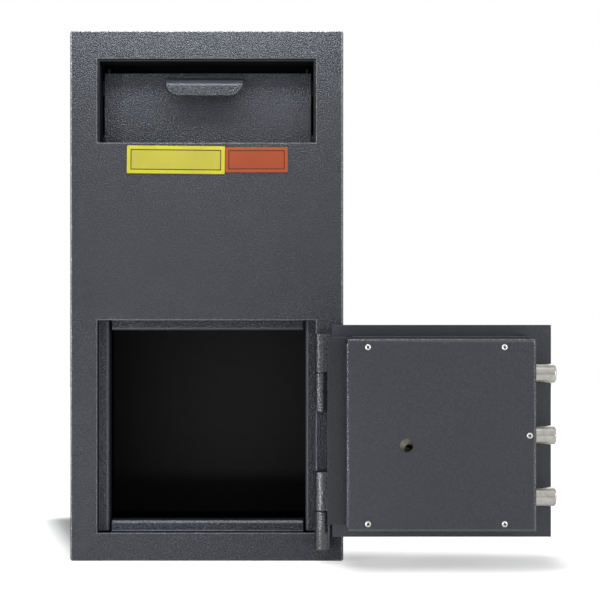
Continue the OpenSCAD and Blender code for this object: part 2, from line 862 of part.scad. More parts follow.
// A pan: its face is bent round on the free, upper and lower edges
module boltwork_cover() {
    color(coat) on_door() difference() {
        intersection() {
            drawn_x(cover_x0, cover_x1) cover_section(cover_z0, cover_z1, cover_r);
            linear_extrude(cover_z1 + 1) mirror([1, -1]) cover_section(cover_x0, cover_x1, cover_r);
            round_slab(cover_x0, cover_x1, cover_z0, cover_z1, frame_y - 1, cover_y + 1, cover_t);
        }
        intersection() {
            drawn_x(cover_x0 + cover_t, cover_x1 - cover_t)
                cover_core(cover_z0, cover_z1, cover_r - cover_t);
            translate([0, 0, cover_z0 + cover_t]) linear_extrude(cover_h - 2 * cover_t)
                mirror([1, -1]) cover_core(cover_x0, cover_x1, cover_r - cover_t);
        }
        bar_y(access_x, access_z, frame_y, cover_y + 1, access_d / 2);
        for (p = cover_screw_spots)
            bar_y(p[0], p[1], cover_in_y - 1, cover_y + 1, screw_shank_r + cover_hole_gap);
        for (i = [-1:1]) {
            z = bolt_mid_z + i * bolt_pitch;
            r = bolt_r + bolt_notch_gap;
            bar_x(cover_x0 - 1, cover_x0 + cover_r + 1, bolt_y, z, r);
            block([cover_x0 - 1, frame_y - 1, z - r], [cover_x0 + cover_t + 1, bolt_y, z + r]);
        }
    }
}

// The cover's outer and inner sections, as depth against breadth
module cover_section(a0, a1, r) {
    translate([frame_y, a0]) square([cover_flange - r, a1 - a0]);
    translate([frame_y, a0 + r]) square([cover_flange, a1 - a0 - 2 * r]);
    for (a = [a0 + r, a1 - r]) translate([cover_y - r, a]) circle(r);
}
module cover_core(a0, a1, r) {
    translate([frame_y - 1, a0 + cover_t]) square([cover_flange - cover_t - r + 1, a1 - a0 - 2 * cover_t]);
    translate([frame_y - 1, a0 + cover_t + r])
        square([cover_flange - cover_t + 1, a1 - a0 - 2 * cover_t - 2 * r]);
    for (a = [a0 + cover_t + r, a1 - cover_t - r]) translate([cover_in_y - r, a]) circle(r);
}

module cover_posts() {
    color(zinc) on_door() for (i = [0:3]) difference() {
        p = cover_screw_spots[i];
        bar_y(p[0], p[1], plate_y, cover_in_y, post_d / 2);
        cover_screw_hole(p);
    }
}

module cover_screws() {
    head_r = screw_head_d / 2;
    color(zinc) on_door() for (p = cover_screw_spots) difference() {
        union() {
            bar_y(p[0], p[1], cover_in_y - screw_bite, cover_y, screw_shank_r);
            bar_y(p[0], p[1], cover_y, cover_y + screw_head_t / 2, head_r);
            translate([p[0], cover_y + screw_head_t / 2, p[1]]) rotate([-90, 0, 0])
                cylinder(h = screw_head_t / 2, r1 = head_r, r2 = head_r - screw_head_slope);
        }
        for (a = [0, 90]) translate([p[0], cover_y + screw_head_t, p[1]]) rotate([0, a, 0])
            cube([recess_len, 2 * recess_d, recess_w], center = true);
    }
}

module carrier_studs() {
    color(zinc) on_door() for (s = [-1, 1]) {
        z = mid_z + s * stud_rise;
        bar_y(stud_x, z, plate_y, bolt_flat_y + run_gap, stud_r);
        bar_y(stud_x, z, bolt_flat_y + run_gap, bolt_flat_y + run_gap + stud_head_t, stud_head_r);
    }
}

// Lock

module hardplate() {
    color(steel) on_door() difference() {
        block([lock_x0 - hard_side, plate_y, lock_z0 - hard_end],
            [lock_x1 + hard_side, hard_y, lock_z1 + hard_end]);
        bar_y(dial_x, dial_z, plate_y - 1, hard_y + 1, dial_spindle_r + spindle_room);
    }
}

module lock_case() {
    slot_half = lock_bolt_w / 2 + lock_bolt_gap;
    color(zinc) on_door() difference() {
        block([lock_x0, hard_y, lock_z0], [lock_x1, lock_y, lock_z1]);
        block([lock_x0 + lock_wall, hard_y + lock_wall, lock_z0 + lock_wall],
            [lock_x1 - lock_wall, lock_y + 1, lock_z1 - lock_wall]);
        block([dial_x - slot_half, lock_bolt_y0 - lock_bolt_gap, lock_z1 - lock_wall - 1],
            [dial_x + slot_half, lock_bolt_y1 + lock_bolt_gap, lock_z1 + 1]);
        bar_y(dial_x, dial_z, hard_y - 1, hard_y + lock_wall + 1, dial_spindle_r + spindle_fit);
    }
}

// The middles of the lock's four screws
lock_corners = [
    for (x = [lock_x0, lock_x1] + [1, -1] * (lock_wall + lock_screw_in),
        z = [lock_z0, lock_z1] + [1, -1] * (lock_wall + lock_screw_in)) [x, z]
];

// The lock's cover carries the tube that the wheels turn on
module lock_cover() {
    color(zinc) on_door() difference() {
        union() {
            block([lock_x0, lock_y, lock_z0], [lock_x1, lock_top_y, lock_z1]);
            bar_y(dial_x, dial_z, wheel_post_end, lock_y, wheel_post_r);
            for (p = lock_corners) bar_y(p[0], p[1], hard_y + lock_wall, lock_y, lock_pillar_r);
        }
        bar_y(change_key_x, change_key_z, lock_y - 1, lock_top_y + 1, change_key_d / 2);
        for (p = lock_corners)
            bar_y(p[0], p[1], lock_top_y - lock_screw_len, lock_top_y + 1, lock_screw_r + screw_hole_gap);
    }
}

module lock_screws() {
    color(chrome) on_door() for (p = lock_corners) {
        bar_y(p[0], p[1], lock_top_y - lock_screw_len, lock_top_y, lock_screw_r);
        bar_y(p[0], p[1], lock_top_y, lock_top_y + lock_screw_head_t, lock_screw_head_r);
    }
}

// Drawn back, so that the carrier may pass
module lock_bolt() {
    color(brass) on_door() block(
        [dial_x - lock_bolt_w / 2, lock_bolt_y0, dial_z + wheel_r + lock_bolt_room],
        [dial_x + lock_bolt_w / 2, lock_bolt_y1, lock_z1 - run_gap]);
}

module lock_wheels() {
    color(brass) on_door() for (i = [0:2]) difference() {
        y = cam_y1 + wheel_gap + i * (wheel_t + wheel_gap);
        bar_y(dial_x, dial_z, y, y + wheel_t, wheel_r);
        bar_y(dial_x, dial_z, y - 1, y + wheel_t + 1, wheel_post_r + wheel_post_gap);
        translate([dial_x, y - 1, dial_z]) rotate([0, first_gate + gate_step * i, 0])
            translate([-gate_w / 2, 0, wheel_r - gate_d]) cube([gate_w, wheel_t + 2, gate_d + 1]);
    }
}

module relocker() {
    x0 = dial_x - relocker_w / 2;
    y = plate_y + relocker_d / 2;
    color(zinc) on_door() {
        difference() {
            block([x0, plate_y, relocker_z - relocker_h / 2],
                [x0 + relocker_w, plate_y + relocker_d, relocker_z + relocker_h / 2]);
            bar_x(x0 - 1, plunger_x1, y, relocker_z, plunger_r + plunger_gap);
        }
        bar_x(x0 - plunger_out, plunger_x1 - 2 * plunger_gap, y, relocker_z, plunger_r);
    }
}

module dial_ring() {
    color(black_plastic) on_door() difference() {
        union() {
            bar_y(dial_x, dial_z, ring_y + ring_bevel, front_y, ring_d / 2);
            translate([dial_x, ring_y + ring_bevel, dial_z]) rotate([90, 0, 0])
                cylinder(h = ring_bevel, r1 = ring_d / 2, r2 = ring_d / 2 - ring_bevel);
        }
        bar_y(dial_x, dial_z, ring_y - 1, front_y + 1, dial_spindle_r + spindle_fit);
    }
}

module handle_bushing() {
    color(chrome) on_door() difference() {
        bar_y(handle_x, handle_z, front_y - bushing_t, front_y, bushing_r);
        bar_y(handle_x, handle_z, front_y - bushing_t - 1, front_y + 1, handle_r + spindle_fit);
    }
}

// Bolts and their carrier

module bolt_carrier() {
    color(zinc) on_door() difference() {
        union() {
            block([carrier_x0, carrier_y0, carrier_z0], [carrier_x1, bolt_flat_y, carrier_z1]);
            block([carrier_x1 - 1, carrier_y0, lock_z1 + arm_gap],
                [arm_x, bolt_flat_y, lock_z1 + arm_gap + arm_h]);
        }
        for (s = [-1, 1]) slot_x(stud_x - bolt_throw, stud_x, mid_z + s * stud_rise, stud_r + run_gap);
        slot_z(cam_pin_x, cam_slot_z0, cam_slot_z1, cam_slot_r);
        for (i = [-1:1])
            bar_y(bolt_screw_x, bolt_mid_z + i * bolt_pitch, carrier_y0 - 1, bolt_flat_y + 1,
                bolt_screw_r + screw_hole_gap);
    }
}

// Slots through the carrier, between the centres of their round ends
module slot_x(x0, x1, z, r) {
    for (x = [x0, x1]) bar_y(x, z, carrier_y0 - 1, bolt_flat_y + 1, r);
    block([x0, carrier_y0 - 1, z - r], [x1, bolt_flat_y + 1, z + r]);
}
module slot_z(x, z0, z1, r) {
    for (z = [z0, z1]) bar_y(x, z, carrier_y0 - 1, bolt_flat_y + 1, r);
    block([x - r, carrier_y0 - 1, z0], [x + r, bolt_flat_y + 1, z1]);
}

module locking_bolt(i) {
    z = bolt_mid_z + i * bolt_pitch;
    color(chrome) on_door() difference() {
        translate([bolt_tip_x, bolt_y, z]) rotate([0, 90, 0]) rotate_extrude() union() {
            translate([0, bolt_end_r]) square([bolt_r, bolt_len - bolt_end_r]);
            square([bolt_r - bolt_end_r, bolt_len]);
            translate([bolt_r - bolt_end_r, bolt_end_r]) intersection() {
                circle(bolt_end_r);
                translate([0, -bolt_end_r]) square(bolt_end_r);
            }
        }
        block([carrier_x0 - 1, bolt_y - bolt_r - 1, z - bolt_r],
            [bolt_tip_x + bolt_len + 1, bolt_flat_y, z + bolt_r]);
        bar_y(bolt_screw_x, z, bolt_flat_y - 1, bolt_flat_y + bolt_screw_bite + run_gap,
            bolt_screw_r + screw_hole_gap);
    }
}
module bolt_upper() {
    locking_bolt(1);
}
module bolt_middle() {
    locking_bolt(0);
}
module bolt_lower() {
    locking_bolt(-1);
}

module bolt_screws() {
    color(steel) on_door() for (i = [-1:1]) {
        z = bolt_mid_z + i * bolt_pitch;
        bar_y(bolt_screw_x, z, carrier_y0, bolt_flat_y + bolt_screw_bite, bolt_screw_r);
        bar_y(bolt_screw_x, z, carrier_y0 - bolt_screw_head_t, carrier_y0, bolt_screw_head_r);
    }
}

// Handle, outside the door, and its cam, inside

module handle_lever() {
    grip_x = handle_x - lever_len + lever_d / 2;
    color(chrome) on_door() difference() {
        union() {
            bar_y(handle_x, handle_z, hub_end_y, hub_y, hub_d / 2);
            bar_x(grip_x, handle_x, lever_y, handle_z, lever_d / 2);
            translate([grip_x, lever_y, handle_z]) sphere(lever_d / 2);
        }
        bar_y(handle_x, handle_z, hub_end_y + hub_cap, hub_y + 1, handle_r);
    }
}

module handle_spindle() {
    color(steel) on_door() bar_y(handle_x, handle_z, hub_end_y + hub_cap, cam_arm_y1, handle_r);
}

module handle_cam() {
    arm_w = 2 * (cam_pin_r + cam_arm_wall);
    color(zinc) on_door() translate([handle_x, cam_arm_y1, handle_z])
        rotate([90, handle_turn / 2, 0]) linear_extrude(cam_arm_t) difference() {
            union() {
                circle(cam_hub_r);
                translate([-arm_w / 2, -cam_r]) square([arm_w, cam_r]);
                translate([0, -cam_r]) circle(cam_pin_r + cam_eye_wall);
            }
            circle(handle_r);
            translate([0, -cam_r]) circle(cam_pin_r);
        }
}

module cam_pin() {
    color(steel) on_door() bar_y(cam_pin_x, cam_pin_z, cam_arm_y0, bolt_flat_y, cam_pin_r);
}

// Dial and what turns with it

module dial() {
    color(black_plastic) on_door() difference() {
        union() {
            bar_y(dial_x, dial_z, dial_y - dial_rim_t, dial_y, dial_d / 2);
            translate([dial_x, dial_y - dial_rim_t, dial_z]) rotate([90, 0, 0])
                cylinder(h = dial_t - dial_rim_t, r1 = dial_d / 2, r2 = dial_d / 2 - dial_bevel);
            bar_y(dial_x, dial_z, dial_y - dial_t - knob_h, dial_y - dial_t, knob_d / 2);
        }
        bar_y(dial_x, dial_z, dial_y - dial_t, dial_y + 1, dial_spindle_r);
    }
}

module dial_spindle() {
    color(brass) on_door() bar_y(dial_x, dial_z, dial_y - dial_t, cam_y1, dial_spindle_r);
}

module drive_cam() {
    color(brass) on_door() difference() {
        bar_y(dial_x, dial_z, cam_y0, cam_y1, drive_cam_r);
        bar_y(dial_x, dial_z, cam_y0 - 1, cam_y1 + 1, dial_spindle_r);
        translate([dial_x - cam_gate_w / 2, cam_y0 - 1, dial_z + drive_cam_r - gate_d])
            cube([cam_gate_w, drive_cam_t + 2, gate_d + 1]);
    }
}

// Deposit drawer: panel, pull, two cheeks and a curved shield, on two pivot pins

module drawer_front() {
    color(coat) block([-panel_x, panel_y0, pivot_z - panel_foot], [panel_x, panel_y1, panel_z1]);
}

module drawer_pull() {
    front = panel_y0 - pull_reach;
    color(coat) intersection() {
        drawn_x(pull_x0, pull_x0 + pull_w) polygon([
            [panel_y0, pull_top], [panel_y0 - pull_t, pull_top],
            [panel_y0 - pull_t, pull_top - pull_flange], [front, pull_slope_z],
            [front, pull_end_z], [front + pull_t, pull_end_z],
            [front + pull_t, pull_slope_z - pull_t / 2],
            [panel_y0, pull_top - pull_flange - pull_t]
        ]);
        translate([0, panel_y0 + 1, 0]) rotate([90, 0, 0]) linear_extrude(pull_reach + 2) union() {
            translate([pull_x0, pull_end_z + pull_corner]) square([pull_w, pull_h]);
            translate([pull_x0 + pull_corner, pull_end_z]) square([pull_w - 2 * pull_corner, pull_corner]);
            for (x = [pull_x0 + pull_corner, pull_x0 + pull_w - pull_corner])
                translate([x, pull_end_z + pull_corner]) circle(pull_corner);
        }
    }
}

// A cheek is a sector about the pivot, from the panel round to the shield's end
module drawer_cheek(side) {
    x0 = side > 0 ? cheek_x0 : -cheek_x1;
    front = panel_y1 - pivot_y;
    far = 2 * shield_r;
    color(coat_inside) translate([0, pivot_y, pivot_z]) drawn_x(x0, x0 + cheek_t) union() {
        intersection() {
            circle(shield_r);
            union() {
                polygon([
                    [0, 0], [0, far], [far, far], [far, -far], far * [sin(shield_end), cos(shield_end)]
                ]);
                translate([front, -cheek_foot]) square([-front, far]);
            }
        }
        circle(eye_r);
    }
}

module drawer_cheek_left() {
    drawer_cheek(-1);
}
module drawer_cheek_right() {
    drawer_cheek(1);
}

module drawer_shield() {
    middle = sill_angle + drawer_tilt / 2;
    color(coat_inside) translate([0, pivot_y, pivot_z]) drawn_x(-cheek_x0, cheek_x0) intersection() {
        difference() {
            circle(shield_r);
            circle(shield_r - shield_t);
        }
        polygon([
            [0, 0], 2 * shield_r * [sin(sill_angle), cos(sill_angle)],
            3 * shield_r * [sin(middle), cos(middle)],
            2 * shield_r * [sin(shield_end), cos(shield_end)]
        ]);
    }
}

module drawer_pivot_pins() {
    color(steel) for (s = [-1, 1]) {
        shoulder = recess_x - boss_gap;
        ends = [s * cheek_x1, s * shoulder];
        tips = [s * shoulder, s * (mouth_x + pivot_out)];
        bar_x(min(ends), max(ends), pivot_y, pivot_z, boss_r);
        bar_x(min(tips), max(tips), pivot_y, pivot_z, pivot_r);
    }
}

cabinet_wrapper();
front_panel();
back_panel();
jamb_strike_side();
jamb_hinge_side();
jamb_top();
jamb_bottom();
hopper_frame();
chute_hood();
chute_sill();
anti_fish_baffle();
drawer_stops();
label_yellow();
label_orange();
fixed_knuckle_upper();
fixed_knuckle_lower();
hinge_pin_upper();
hinge_pin_lower();
hinge_washers();
door_plate();
door_knuckle_upper();
door_knuckle_lower();
dead_bar();
boltwork_frame();
bolt_guide_bar();
boltwork_cover();
cover_posts();
cover_screws();
carrier_studs();
hardplate();
lock_case();
lock_cover();
lock_screws();
lock_bolt();
lock_wheels();
relocker();
dial_ring();
handle_bushing();
bolt_carrier();
bolt_upper();
bolt_middle();
bolt_lower();
bolt_screws();
handle_lever();
handle_spindle();
handle_cam();
cam_pin();
dial();
dial_spindle();
drive_cam();
drawer_front();
drawer_pull();
drawer_cheek_left();
drawer_cheek_right();
drawer_shield();
drawer_pivot_pins();
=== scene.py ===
# The looks of a drop safe with a tilting deposit drawer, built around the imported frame.
# Lengths are in metres. A size that reads better in millimetres is written times MM, and
# outlines, points and loops are given in plain millimetres to the functions that build with them.
import json
import math

import bmesh
import bpy
from mathutils import Matrix, Vector


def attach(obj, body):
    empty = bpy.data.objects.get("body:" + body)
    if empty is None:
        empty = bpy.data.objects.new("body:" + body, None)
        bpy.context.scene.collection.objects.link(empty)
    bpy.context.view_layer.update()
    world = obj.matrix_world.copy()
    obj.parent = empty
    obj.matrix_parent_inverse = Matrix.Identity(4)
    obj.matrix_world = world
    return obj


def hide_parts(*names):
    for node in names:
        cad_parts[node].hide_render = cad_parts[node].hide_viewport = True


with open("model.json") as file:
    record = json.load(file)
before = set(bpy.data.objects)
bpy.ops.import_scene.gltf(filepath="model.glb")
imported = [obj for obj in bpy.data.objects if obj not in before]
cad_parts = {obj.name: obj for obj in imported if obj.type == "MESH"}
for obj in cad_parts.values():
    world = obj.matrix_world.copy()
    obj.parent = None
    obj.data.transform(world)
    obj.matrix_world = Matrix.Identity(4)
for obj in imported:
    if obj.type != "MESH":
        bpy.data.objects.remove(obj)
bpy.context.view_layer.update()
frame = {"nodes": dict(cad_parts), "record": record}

MM = 0.001
NODES = frame["nodes"]
BODY_OF = {node: body for body, nodes in frame["record"]["behaviour"]["bodies"].items() for node in nodes}
SLOT_OF = {part["node"]: part["material_slot"] for part in frame["record"]["subparts"]}

# The camera that took the picture: square on, level with the middle of the front
CAMERA_AT = (0.1212, -1.778, 0.3388)
LENS = 73.96
SENSOR = 36.0


# Colours and finishes

def srgb(code):
    """A hex colour as Blender's linear one"""
    parts = [int(code[i:i + 2], 16) / 255 for i in (1, 3, 5)]
    return (*[p / 12.92 if p <= 0.04045 else ((p + 0.055) / 1.055) ** 2.4 for p in parts], 1.0)


def add_node(tree, kind, settings=None, links=None):
    """Adds a node; links gives each input a value or another node's output"""
    made = tree.nodes.new(kind)
    for name, value in (settings or {}).items():
        setattr(made, name, value)
    for socket, source in (links or {}).items():
        for each in source if isinstance(source, list) else [source]:
            if isinstance(each, bpy.types.NodeSocket):
                tree.links.new(each, made.inputs[socket])
            else:
                made.inputs[socket].default_value = each
    return made


# Between these values nearly all of a noise lies
NOISE_LOW = 0.3
NOISE_HIGH = 0.7
# How far a surface is turned from the eye, 0 square on and 1 edge on: its gloss starts to go at the
# first and is gone at the second
ASLANT = 0.45
EDGE_ON = 0.8


def finish(name, base, layers, gloss, relief, metallic=0.0, specular=0.5, aslant=None):
    """A material of noise layers on a base colour, placed by the piece's own coordinates.
    A layer is (blotch size, stretch, low, high, share, colour): from low to high its noise
    blends up to that share of the colour in. Layers of one size and stretch share one noise.
    gloss is (layer, roughness at low noise, at high); relief is (depth, {layer: share}).
    aslant, if given, is the (roughness, specular) reached where the surface is seen edge on"""
    material = bpy.data.materials.new(name)
    material.use_nodes = True
    tree = material.node_tree
    tree.nodes.clear()
    shader = add_node(tree, "ShaderNodeBsdfPrincipled", None, {
        "Metallic": metallic, "Specular IOR Level": specular})
    add_node(tree, "ShaderNodeOutputMaterial", None, {"Surface": shader.outputs[0]})
    place = add_node(tree, "ShaderNodeTexCoord").outputs["Object"]
    tint = srgb(base)
    patterns = []
    for size, stretch, low, high, share, colour in layers:
        mapped = add_node(tree, "ShaderNodeMapping", None, {
            "Vector": place, "Scale": tuple(1 / each for each in stretch)})
        pattern = add_node(tree, "ShaderNodeTexNoise", None, {
            "Vector": mapped.outputs[0], "Scale": 1 / size, "Detail": 2.0, "Roughness": 0.5}).outputs["Fac"]
        amount = add_node(tree, "ShaderNodeMapRange", None, {
            "Value": pattern, "From Min": low, "From Max": high, "To Max": share}).outputs[0]
        tint = add_node(tree, "ShaderNodeMix", {"data_type": "RGBA"}, {
            0: amount, 6: tint, 7: srgb(colour)}).outputs[2]
        patterns.append(pattern)
    tree.links.new(tint, shader.inputs["Base Color"])
    layer, rough_low, rough_high = gloss
    roughness = add_node(tree, "ShaderNodeMapRange", None, {
        "Value": patterns[layer], "From Min": NOISE_LOW, "From Max": NOISE_HIGH,
        "To Min": rough_low, "To Max": rough_high})
    if aslant:
        tilt = add_node(tree, "ShaderNodeLayerWeight", None, {"Blend": 0.5}).outputs["Facing"]
        roughness = add_node(tree, "ShaderNodeMapRange", None, {
            "Value": tilt, "From Min": ASLANT, "From Max": EDGE_ON,
            "To Min": roughness.outputs[0], "To Max": aslant[0]})
        level = add_node(tree, "ShaderNodeMapRange", None, {
            "Value": tilt, "From Min": ASLANT, "From Max": EDGE_ON,
            "To Min": specular, "To Max": aslant[1]})
        tree.links.new(level.outputs[0], shader.inputs["Specular IOR Level"])
    tree.links.new(roughness.outputs[0], shader.inputs["Roughness"])
    depth, shares = relief
    height = 0.0
    for layer, share in shares.items():
        height = add_node(tree, "ShaderNodeMath", {"operation": "MULTIPLY_ADD"}, {
            0: patterns[layer], 1: share, 2: height}).outputs[0]
    bump = add_node(tree, "ShaderNodeBump", None, {"Height": height, "Distance": depth})
    tree.links.new(bump.outputs[0], shader.inputs["Normal"])
    return material


# How a noise is drawn out: not at all, in lines along z, in rings round x and in rings round y
EVEN = (1, 1, 1)
ALONG_Z = (1, 1, 30)
ROUND_X = (1, 60, 60)
ROUND_Y = (60, 1, 60)


# Roughness and specular level of the coat where it is seen edge on
COAT_EDGE_ON = (0.8, 0.03)


def powder_coat(name, pit_shade, body, peak_glint, grain, depth, gloss, specular):
    """Sprayed and baked polyester powder: a leathery grain, each bump with its own small glint,
    its pits painted darker as shade and its peaks and fine flecks painted paler as glints, and very faint
    clouds from the spray gun's passes.
    Seen edge on, the bumps hide one another's glints, so there it turns matt"""
    return finish(name, pit_shade, [
        (grain, EVEN, 0.36, 0.52, 1.0, body),
        (grain, EVEN, 0.54, 0.68, 1.0, peak_glint),
        (60 * MM, EVEN, 0.35, 0.7, 0.3, pit_shade),
        (grain * 0.4, EVEN, 0.4, 0.7, 0.15, peak_glint),
    ], (3, *gloss), (depth, {0: 1.0, 3: 0.2}), specular=specular, aslant=COAT_EDGE_ON)


def turned_steel(name, stretch, bright, dull):
    """Turned bar: hair-fine rings left by the tool round the piece's own axis, softly smeared.
    The rings are drawn 0.6 mm apart, about ten times their real width, so that they show"""
    return finish(name, bright, [
        (9 * MM, EVEN, 0.35, 0.65, 1.0, dull),
        (0.6 * MM, stretch, 0.4, 0.7, 0.12, "#7F7D77"),
    ], (1, 0.2, 0.26), (0.0005 * MM, {1: 1.0}), metallic=1.0)


def label_ink(name, colour, faded):
    """Screen ink on thin plate: flat and matt, a little mottled where the plate's grain shows"""
    return finish(name, colour, [
        (30 * MM, EVEN, 0.4, 0.7, 0.7, faded),
        (2.2 * MM, EVEN, 0.45, 0.7, 0.5, faded),
    ], (1, 0.42, 0.55), (0.05 * MM, {1: 1.0}), specular=0.35)


COAT = powder_coat(
    "slate_textured_powder_coat", "#1A1D24", "#22262F", "#313640", 2.0 * MM, 2.4 * MM, (0.16, 0.28), 0.36)
# The same coat, smooth over a rounded edge, with a paler colour that is a painted highlight: the bright
# line of light along the edge
EDGE_HIGHLIGHT_COAT = powder_coat(
    "slate_coat_edges_painted_highlight", "#3E4149", "#4E5159", "#70737B", 2.6 * MM, 0.3 * MM, (0.16, 0.26), 0.6)
# The cabinet's long outer corners where they face the front: a pale, glossy coat that paints the highlight
# along them
RIM_HIGHLIGHT_COAT = powder_coat(
    "slate_coat_painted_rim_highlight", "#4A4D55", "#5C5F67", "#8A8D95", 2.6 * MM, 0.5 * MM, (0.12, 0.2), 1.0)
# And on turned barrels and bends, where it flowed out to a soft orange peel
BARREL_COAT = powder_coat(
    "slate_orange_peel_coat", "#1E2127", "#272A31", "#363A42", 2.2 * MM, 0.45 * MM, (0.1, 0.18), 0.7)
# A finer, duller spray on the door and the lighter bent sheet
DOOR_COAT = powder_coat(
    "slate_fine_powder_coat", "#2A2C33", "#31333A", "#3D3F46", 1.6 * MM, 0.6 * MM, (0.28, 0.42), 0.38)
# The fine coat on the dead bar, a shade darker and duller than the plate: the darker colour is painted
# shade, the shadow the cover casts along the bar
DEAD_BAR_SHADE_COAT = powder_coat(
    "slate_fine_coat_painted_shade", "#1F2126", "#25272C", "#303238", 1.6 * MM, 0.5 * MM, (0.34, 0.48), 0.3)
# Inside: nearly black and dull, painted shade that stands for the dark of the deep cavity
INNER_SHADE_COAT = powder_coat(
    "inner_coat_painted_shade", "#0B0C0E", "#0F1012", "#141518", 1.4 * MM, 0.2 * MM, (0.5, 0.65), 0.2)
# Bright zinc over mild steel: silvery, with a faint blue and straw bloom in soft clouds
ZINC = finish("zinc_plated_steel", "#D3D6DA", [
    (14 * MM, EVEN, 0.35, 0.7, 1.0, "#BDBCB1"),
    (0.8 * MM, EVEN, 0.5, 0.7, 0.2, "#A9A9A4"),
], (0, 0.24, 0.4), (0.04 * MM, {1: 1.0}), metallic=1.0)
# Plain bar and plate as milled: grey, oiled, with long faint cutter lines
MILLED = finish("milled_steel", "#8F9296", [
    (20 * MM, EVEN, 0.35, 0.7, 1.0, "#75767A"),
    (0.7 * MM, ALONG_Z, 0.45, 0.7, 0.3, "#606165"),
], (1, 0.3, 0.48), (0.03 * MM, {1: 1.0}), metallic=1.0)
# Brown-black oil blacking, as on pins and washers that stay greased
BLACKED = finish("oil_blacked_steel", "#3A3A3C", [
    (12 * MM, EVEN, 0.35, 0.7, 1.0, "#2A2929"),
    (1.2 * MM, EVEN, 0.5, 0.7, 0.3, "#4A4746"),
], (0, 0.35, 0.5), (0.03 * MM, {1: 1.0}), metallic=0.8)
STAINLESS = turned_steel("turned_stainless_bolts", ROUND_X, "#A09F9A", "#918F89")
CHROMED = turned_steel("turned_chromed_steel", ROUND_Y, "#C9CBCD", "#B7B9BC")
# Free-cutting brass, turned and left bare, dulled a little by handling
BRASS = finish("turned_brass", "#C9A85C", [
    (8 * MM, EVEN, 0.35, 0.7, 1.0, "#A98943"),
    (0.6 * MM, ROUND_Y, 0.45, 0.7, 0.4, "#8C7036"),
], (1, 0.24, 0.4), (0.02 * MM, {1: 1.0}), metallic=1.0)
# Brass wheels under old grease, nearly black where they sit in the lock
GREASED = finish("greased_brass", "#2E2716", [
    (5 * MM, EVEN, 0.35, 0.7, 1.0, "#1A1710"),
    (0.9 * MM, EVEN, 0.5, 0.7, 0.3, "#463B20"),
], (0, 0.4, 0.6), (0.05 * MM, {1: 1.0}), metallic=0.6)
# Pressure die-cast zinc alloy: dull grey, rough from the mould, darker where it was handled
DIE_CAST = finish("die_cast_zinc_alloy", "#A4A398", [
    (9 * MM, EVEN, 0.35, 0.7, 1.0, "#86857B"),
    (0.9 * MM, EVEN, 0.5, 0.7, 0.4, "#55544D"),
], (0, 0.42, 0.6), (0.06 * MM, {1: 1.0}), metallic=1.0)
# Black glass-filled nylon with the mould's fine spark texture
NYLON = finish("moulded_black_nylon", "#1C1D1F", [
    (20 * MM, EVEN, 0.35, 0.7, 1.0, "#232427"),
    (0.9 * MM, EVEN, 0.5, 0.7, 0.4, "#2D2E31"),
], (1, 0.34, 0.48), (0.06 * MM, {1: 1.0}), specular=0.45)
# Cut nitrile rubber: dull, with a dusty bloom
RUBBER = finish("black_stop_rubber", "#161617", [
    (6 * MM, EVEN, 0.4, 0.7, 1.0, "#1F1F20"),
    (0.9 * MM, EVEN, 0.5, 0.7, 0.3, "#29292A"),
], (0, 0.7, 0.85), (0.08 * MM, {0: 0.5, 1: 0.5}), specular=0.25)
YELLOW_INK = label_ink("yellow_label_ink", "#C6BF32", "#B8B136")
YELLOW_FIELD = label_ink("yellow_label_field", "#B5AE3F", "#ABA43E")
YELLOW_LINE = label_ink("yellow_label_line", "#3A371C", "#454222")
ORANGE_INK = label_ink("orange_label_ink", "#A64B26", "#984322")
ORANGE_FIELD = label_ink("orange_label_field", "#9A4525", "#8E3F22")
ORANGE_LINE = label_ink("orange_label_line", "#331B14", "#3E2219")
DIAL_INK = label_ink("white_dial_ink", "#D9D9D4", "#C9C9C4")


# Meshes and pieces

def add_piece(name, mesh, node, *finishes, extra=False):
    """Puts a finished mesh in the scene on a node's body, in place of the node unless it is extra"""
    piece = bpy.data.objects.new(name, mesh)
    bpy.context.scene.collection.objects.link(piece)
    for each in finishes:
        mesh.materials.append(each)
    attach(piece, BODY_OF[node])
    if not extra:
        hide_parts(node)


def evaluated_mesh(holder, *helpers):
    """The plain mesh that an object's modifiers give; the objects are then removed"""
    graph = bpy.context.evaluated_depsgraph_get()
    made = bpy.data.meshes.new_from_object(holder.evaluated_get(graph), depsgraph=graph)
    made.materials.clear()
    for each in (holder, *helpers):
        each.modifiers.clear()
        bpy.data.objects.remove(each)
    return made


def holder_for(mesh, name="holder"):
    """A passing object that holds a mesh while modifiers work on it"""
    holder = bpy.data.objects.new(name, mesh)
    bpy.context.scene.collection.objects.link(holder)
    return holder


def finished_mesh(mesh, edge=0.0, segments=3, corner=40.0):
    """Rounds the sharp edges of a mesh by edge, and shades it smooth between what stays sharp"""
    holder = holder_for(mesh)
    if edge:
        bevel = holder.modifiers.new("edges", "BEVEL")
        bevel.width = edge
        bevel.segments = segments
        bevel.limit_method = "ANGLE"
        bevel.angle_limit = math.radians(corner)
        bevel.use_clamp_overlap = True
    mesh.shade_smooth()
    mesh.set_sharp_from_angle(angle=math.radians(corner))
    weighted = holder.modifiers.new("flat_faces", "WEIGHTED_NORMAL")
    weighted.keep_sharp = True
    return evaluated_mesh(holder)


def merged_copy(node, touching=1e-6, level=math.radians(0.5)):
    """A CAD node's mesh with its loose triangles joined to whole faces: corners that lie within
    touching become one, and so do neighbours whose slopes differ by less than level"""
    mesh = NODES[node].data.copy()
    mesh.materials.clear()
    form = bmesh.new()
    form.from_mesh(mesh)
    for face in form.faces:
        face.material_index = 0
    bmesh.ops.remove_doubles(form, verts=form.verts, dist=touching)
    bmesh.ops.dissolve_limit(form, angle_limit=level, verts=form.verts, edges=form.edges)
    form.to_mesh(mesh)
    form.free()
    return mesh


def edged(node, edge, finish_of):
    """The node's own shape with its edges rounded off"""
    add_piece(node + "_piece", finished_mesh(merged_copy(node), edge), node, finish_of)


